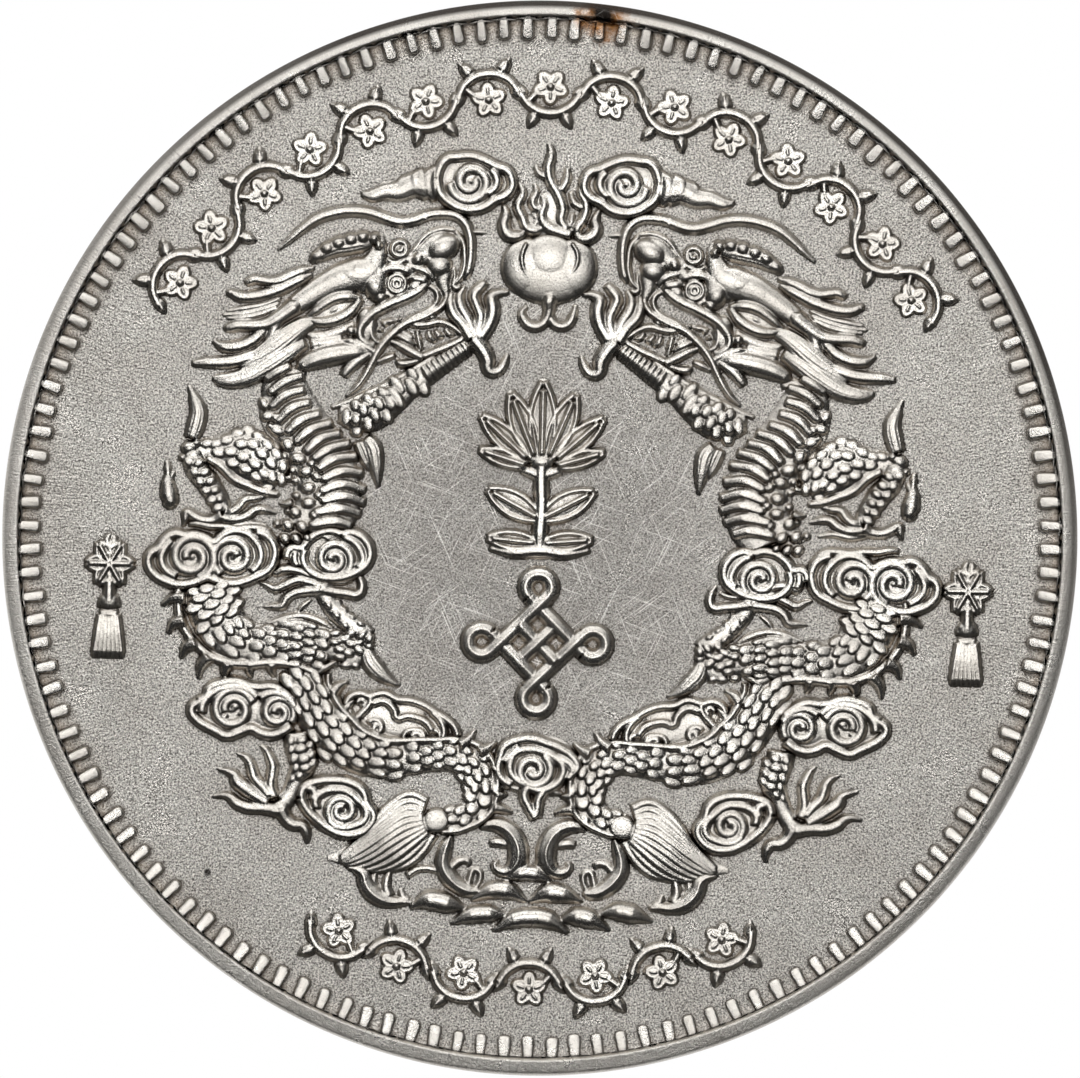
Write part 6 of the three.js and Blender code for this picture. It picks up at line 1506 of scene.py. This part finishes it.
def silver(name, tone, worn_tone, roughness, grain, fleck_span, field=False):
    """Struck silver: fine grain, brown toning in the recesses, painted shade at the feet of the relief,
    a stain on the upper rim and one pit.

    The field also has flow lines running out to the border, and hairlines from handling, painted shade
    towards its middle, and painted shade on the rim's outer slope.
    """
    recipe = Recipe(name)
    place = recipe.add("TexCoord", {}).outputs["Object"]
    in_mm = recipe.add("Mapping", {"Vector": place, "Scale": (1000, 1000, 1000)}).outputs["Vector"]
    mottle = recipe.noise(in_mm, 0.4, 5)
    height = recipe.noise(in_mm, 12, 3, 0.75)

    if field:
        flat = recipe.vector("MULTIPLY", in_mm, (1, 1, 0))
        reach = recipe.vector("LENGTH", flat, result="Value")
        way = recipe.vector("NORMALIZE", flat)
        outward = recipe.add("CombineXYZ", {"Z": reach}).outputs["Vector"]
        flow = recipe.noise(recipe.vector("MULTIPLY_ADD", way, (150, 150, 150), outward), 1.8, 2, 0.5)
        height = recipe.calc("MULTIPLY_ADD", flow, recipe.span(reach, 14.5, 18.5, 0, 0.7), height)
        hairlines = 0.0
        for turn in HAIRLINE_TURNS:
            drawn = recipe.add("Mapping", {"Vector": flat, "Rotation": (0, 0, math.radians(turn)),
                                           "Scale": (1 / HAIRLINE_LENGTH, 1 / HAIRLINE_WIDTH, 1)},
                               vector_type="TEXTURE").outputs["Vector"]
            lines = recipe.span(recipe.noise(drawn, 1.0, 0), 0.72, 0.77)
            hairlines = recipe.calc("MULTIPLY_ADD", lines, 1.0, hairlines)

    colour = recipe.blend(recipe.span(mottle, 0.35, 0.65), (*tone, 1), (*worn_tone, 1))
    clean = recipe.span(recipe.noise(in_mm, 14, 3, 0.75), *fleck_span)
    if field:
        # the rim is rubbed free of flecks
        clean = recipe.calc("MAXIMUM", clean, recipe.span(reach, 19.65, 19.8, 0, 0.85))
    colour = recipe.blend(clean, FLECK, colour)
    colour = recipe.blend(recipe.span(recipe.shaded(0.5), 0.25, 0.8), WARM_TONING, colour)
    # painted shade: darkening within 0.2 mm of raised parts, at their feet and between them, where shade
    # falls
    colour = recipe.blend(recipe.span(recipe.shaded(0.2), 0.5, 0.95), PAINTED_SHADE_DARK, colour)
    uneven = recipe.noise(in_mm, 2.5, 4)
    stain = recipe.calc("MULTIPLY_ADD", uneven, 1.6, recipe.distance(in_mm, STAIN, (1.15, 1.0)))
    colour = recipe.blend(recipe.span(stain, 1.2, 1.9), STAIN_BROWN, colour)
    stain_heart = recipe.calc("MULTIPLY_ADD", uneven, 0.8, recipe.distance(in_mm, STAIN, (0.5, 0.42)))
    colour = recipe.blend(recipe.span(stain_heart, 1.0, 1.6), STAIN_BLACK, colour)
    pit = recipe.distance(in_mm, PIT, (0.15, 0.17))
    colour = recipe.blend(recipe.span(pit, 0.6, 1.1), PIT_FLOOR, colour)

    if field:
        # painted shade: the field is darker towards the middle, where its hairlines are brightest
        colour = recipe.blend(recipe.span(reach, 4, 12, 0.56, 1.0), MIDDLE_SHADE, colour)
        scratched = recipe.calc("MULTIPLY", hairlines, recipe.span(reach, 8, 15, 0.75, 0.15))
        colour = recipe.blend(scratched, colour, BRIGHT)
        # painted shade on the rim's outer slope, where it falls away, most of all high up on the right
        side = recipe.vector("DOT_PRODUCT", way, (0.4, 0.92, 0), result="Value")
        edge = recipe.calc("MULTIPLY", recipe.span(reach, 20.14, 20.3),
                           recipe.span(side, -0.3, 0.7, 0.2, 0.95))
        colour = recipe.blend(edge, colour, PAINTED_SHADE_DARK)

    bump = recipe.add("Bump", {"Height": height, "Distance": grain * MM, "Strength": 1.0})
    surface = recipe.add("BsdfPrincipled", {
        "Base Color": colour, "Metallic": 1.0, "Normal": bump.outputs["Normal"],
        "Roughness": recipe.span(mottle, 0.3, 0.7, roughness - 0.04, roughness + 0.06)})
    recipe.add("OutputMaterial", {"Surface": surface.outputs["BSDF"]})
    return recipe.material


# painted shade: the relief and the border teeth get darker copies of the field's silver, which hold down how
# bright they light up
relief_silver = silver("relief_silver", tone=(0.69, 0.662, 0.613), worn_tone=(0.56, 0.527, 0.476),
                       roughness=0.27, grain=0.014, fleck_span=(0.22, 0.5))
border_silver = silver("border_silver", tone=(0.72, 0.692, 0.645), worn_tone=(0.6, 0.566, 0.515),
                       roughness=0.27, grain=0.02, fleck_span=(0.16, 0.42))
field_silver = silver("field_silver", tone=(0.95, 0.915, 0.85), worn_tone=(0.84, 0.795, 0.73),
                      roughness=0.29, grain=0.04, fleck_span=(0.38, 0.58), field=True)

for name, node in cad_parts.items():
    node.data.materials.clear()
    node.data.materials.append(field_silver if name == "flan" else relief_silver)

# ---- the coin, put together --------------------------------------------------------------------

# The right dragon is the left one turned over, with some of its figures a little off the mirror place.
DRAGON_FIGURES = {
    "whisker": (make_whisker, 0, 0),
    "raised_foreleg": (make_raised_foreleg, 0, 0),
    "head": (make_head, 0, 0),
    "mane": (make_mane, 0, 0),
    "side_cloud": (make_side_cloud, -0.3, -0.4),
    "bent_foreleg": (make_bent_foreleg, -0.2, 0.1),
    "chest_cloud": (make_chest_cloud, -0.6, -0.4),
    "neck": (make_neck, -0.15, 0),
    "elbow_tuft": (make_elbow_tuft, 0.2, 0),
    "inner_hindleg": (make_inner_hindleg, 0.2, -0.2),
    "body_coil": (make_body_coil, -0.3, -0.15),
    "flank_cloud": (make_flank_cloud, -0.25, -0.15),
    "outer_hindleg": (make_outer_hindleg, -0.3, -0.3),
    "lower_body": (make_lower_body, 0, 0),
    "tail_fan": (make_tail_fan, 0.3, -0.1),
    "tail_cloud": (make_tail_cloud, -0.2, -0.25),
    "hip_cloud": (make_hip_cloud, 0, 0),
    "drop": (make_drop, 0.05, 0.2),
    "top_cloud": (make_top_cloud, 0, 0),
}
for part, (make, dx, dy) in DRAGON_FIGURES.items():
    left = make()
    right = mirrored(left, part, dx, dy)
    seat(left, "left_" + part, relief_silver)
    seat(right, "right_" + part, relief_silver)
seat(make_pearl(), "flaming_pearl", relief_silver)
seat(make_flames(), "pearl_flames", relief_silver)
seat(make_centre_cloud(), "centre_cloud", relief_silver)
seat(make_waves(), "waves_and_rocks", relief_silver)
seat(make_lotus(), "lotus_ornament", relief_silver)
seat(make_knot(), "knot_ornament", relief_silver)
seat(make_tassel(-16.35, -2.6), "left_tassel", relief_silver)
seat(make_tassel(16.35, -2.9), "right_tassel", relief_silver)
seat(make_vine(150, 30, 15), "top_vine", relief_silver)
seat(make_vine(240, 300, 7), "bottom_vine", relief_silver)
seat(make_border(), "front_border_teeth", border_silver)
seat(make_border(back=True), "back_border_teeth", border_silver, back=True)
seat(make_rosette(), "back_rosette", relief_silver, back=True)
seat(make_wreath(), "back_wreath", relief_silver, back=True)

blank = make_flan()
blank.data.shade_smooth()
blank.name = blank.data.name = "flan_struck"
blank.data.materials.append(field_silver)
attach(blank, "root")
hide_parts("flan")

# ---- floor, light and camera -------------------------------------------------------------------

bpy.ops.mesh.primitive_plane_add(size=1.2)
floor = bpy.context.object
floor.name = "floor"
paper = Recipe("floor_paper")
rays = paper.add("LightPath", {}).outputs
seen = paper.calc("MAXIMUM", rays["Is Camera Ray"], rays["Is Glossy Ray"])
seen = paper.calc("MAXIMUM", seen, rays["Is Transmission Ray"])
matt = paper.add("BsdfDiffuse", {"Color": (0.86, 0.86, 0.86, 1)})
white = paper.add("Emission", {"Color": (1, 1, 1, 1), "Strength": 1.0})
sheet = paper.add("MixShader", {0: seen, 1: matt.outputs["BSDF"], 2: white.outputs["Emission"]})
paper.add("OutputMaterial", {"Surface": sheet.outputs["Shader"]})
floor.data.materials.append(paper.material)

scene = bpy.context.scene
scene.view_settings.view_transform = "Standard"
scene.world = bpy.data.worlds.new("studio")
scene.world.use_nodes = True
dim_room = scene.world.node_tree.nodes["Background"].inputs
dim_room["Color"].default_value = (0.025, 0.025, 0.025, 1)
dim_room["Strength"].default_value = 1.0


def softbox(name, location, size, power):
    data = bpy.data.lights.new(name, "AREA")
    data.shape = "RECTANGLE"
    data.size, data.size_y = size
    data.energy = power
    lamp = add_object(name, data)
    lamp.location = location
    lamp.rotation_euler = (-Vector(location)).to_track_quat("-Z", "Y").to_euler()


softbox("overhead_softbox", location=(0, 0.05, 0.40), size=(0.28, 0.24), power=0.68)
softbox("north_softbox", location=(-0.04, 0.36, 0.27), size=(0.8, 0.22), power=1.4)

DIAMETER = 0.041
PHOTO_WIDTH, PHOTO_HEIGHT = 1080, 1078
COIN_CENTRE, COIN_RADIUS_PX, DESIGN_TURN = (539.8, 538.1), 538.8, 1.37
LENS, SENSOR_WIDTH = 200, 36
camera_data = bpy.data.cameras.new("camera")
camera_data.lens = LENS
camera_data.sensor_width = SENSOR_WIDTH
camera = add_object("camera", camera_data)
metres_per_px = DIAMETER / 2 / COIN_RADIUS_PX
reach = metres_per_px * PHOTO_WIDTH * LENS / SENSOR_WIDTH
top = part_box("flan")[1][2]
turn = math.radians(DESIGN_TURN)
aside = Vector(((PHOTO_WIDTH / 2 - COIN_CENTRE[0]) * metres_per_px,
                (COIN_CENTRE[1] - PHOTO_HEIGHT / 2) * metres_per_px, 0))
camera.location = Matrix.Rotation(turn, 3, "Z") @ aside + Vector((0, 0, top + reach))
camera.rotation_euler = (0, 0, turn)
scene.camera = camera
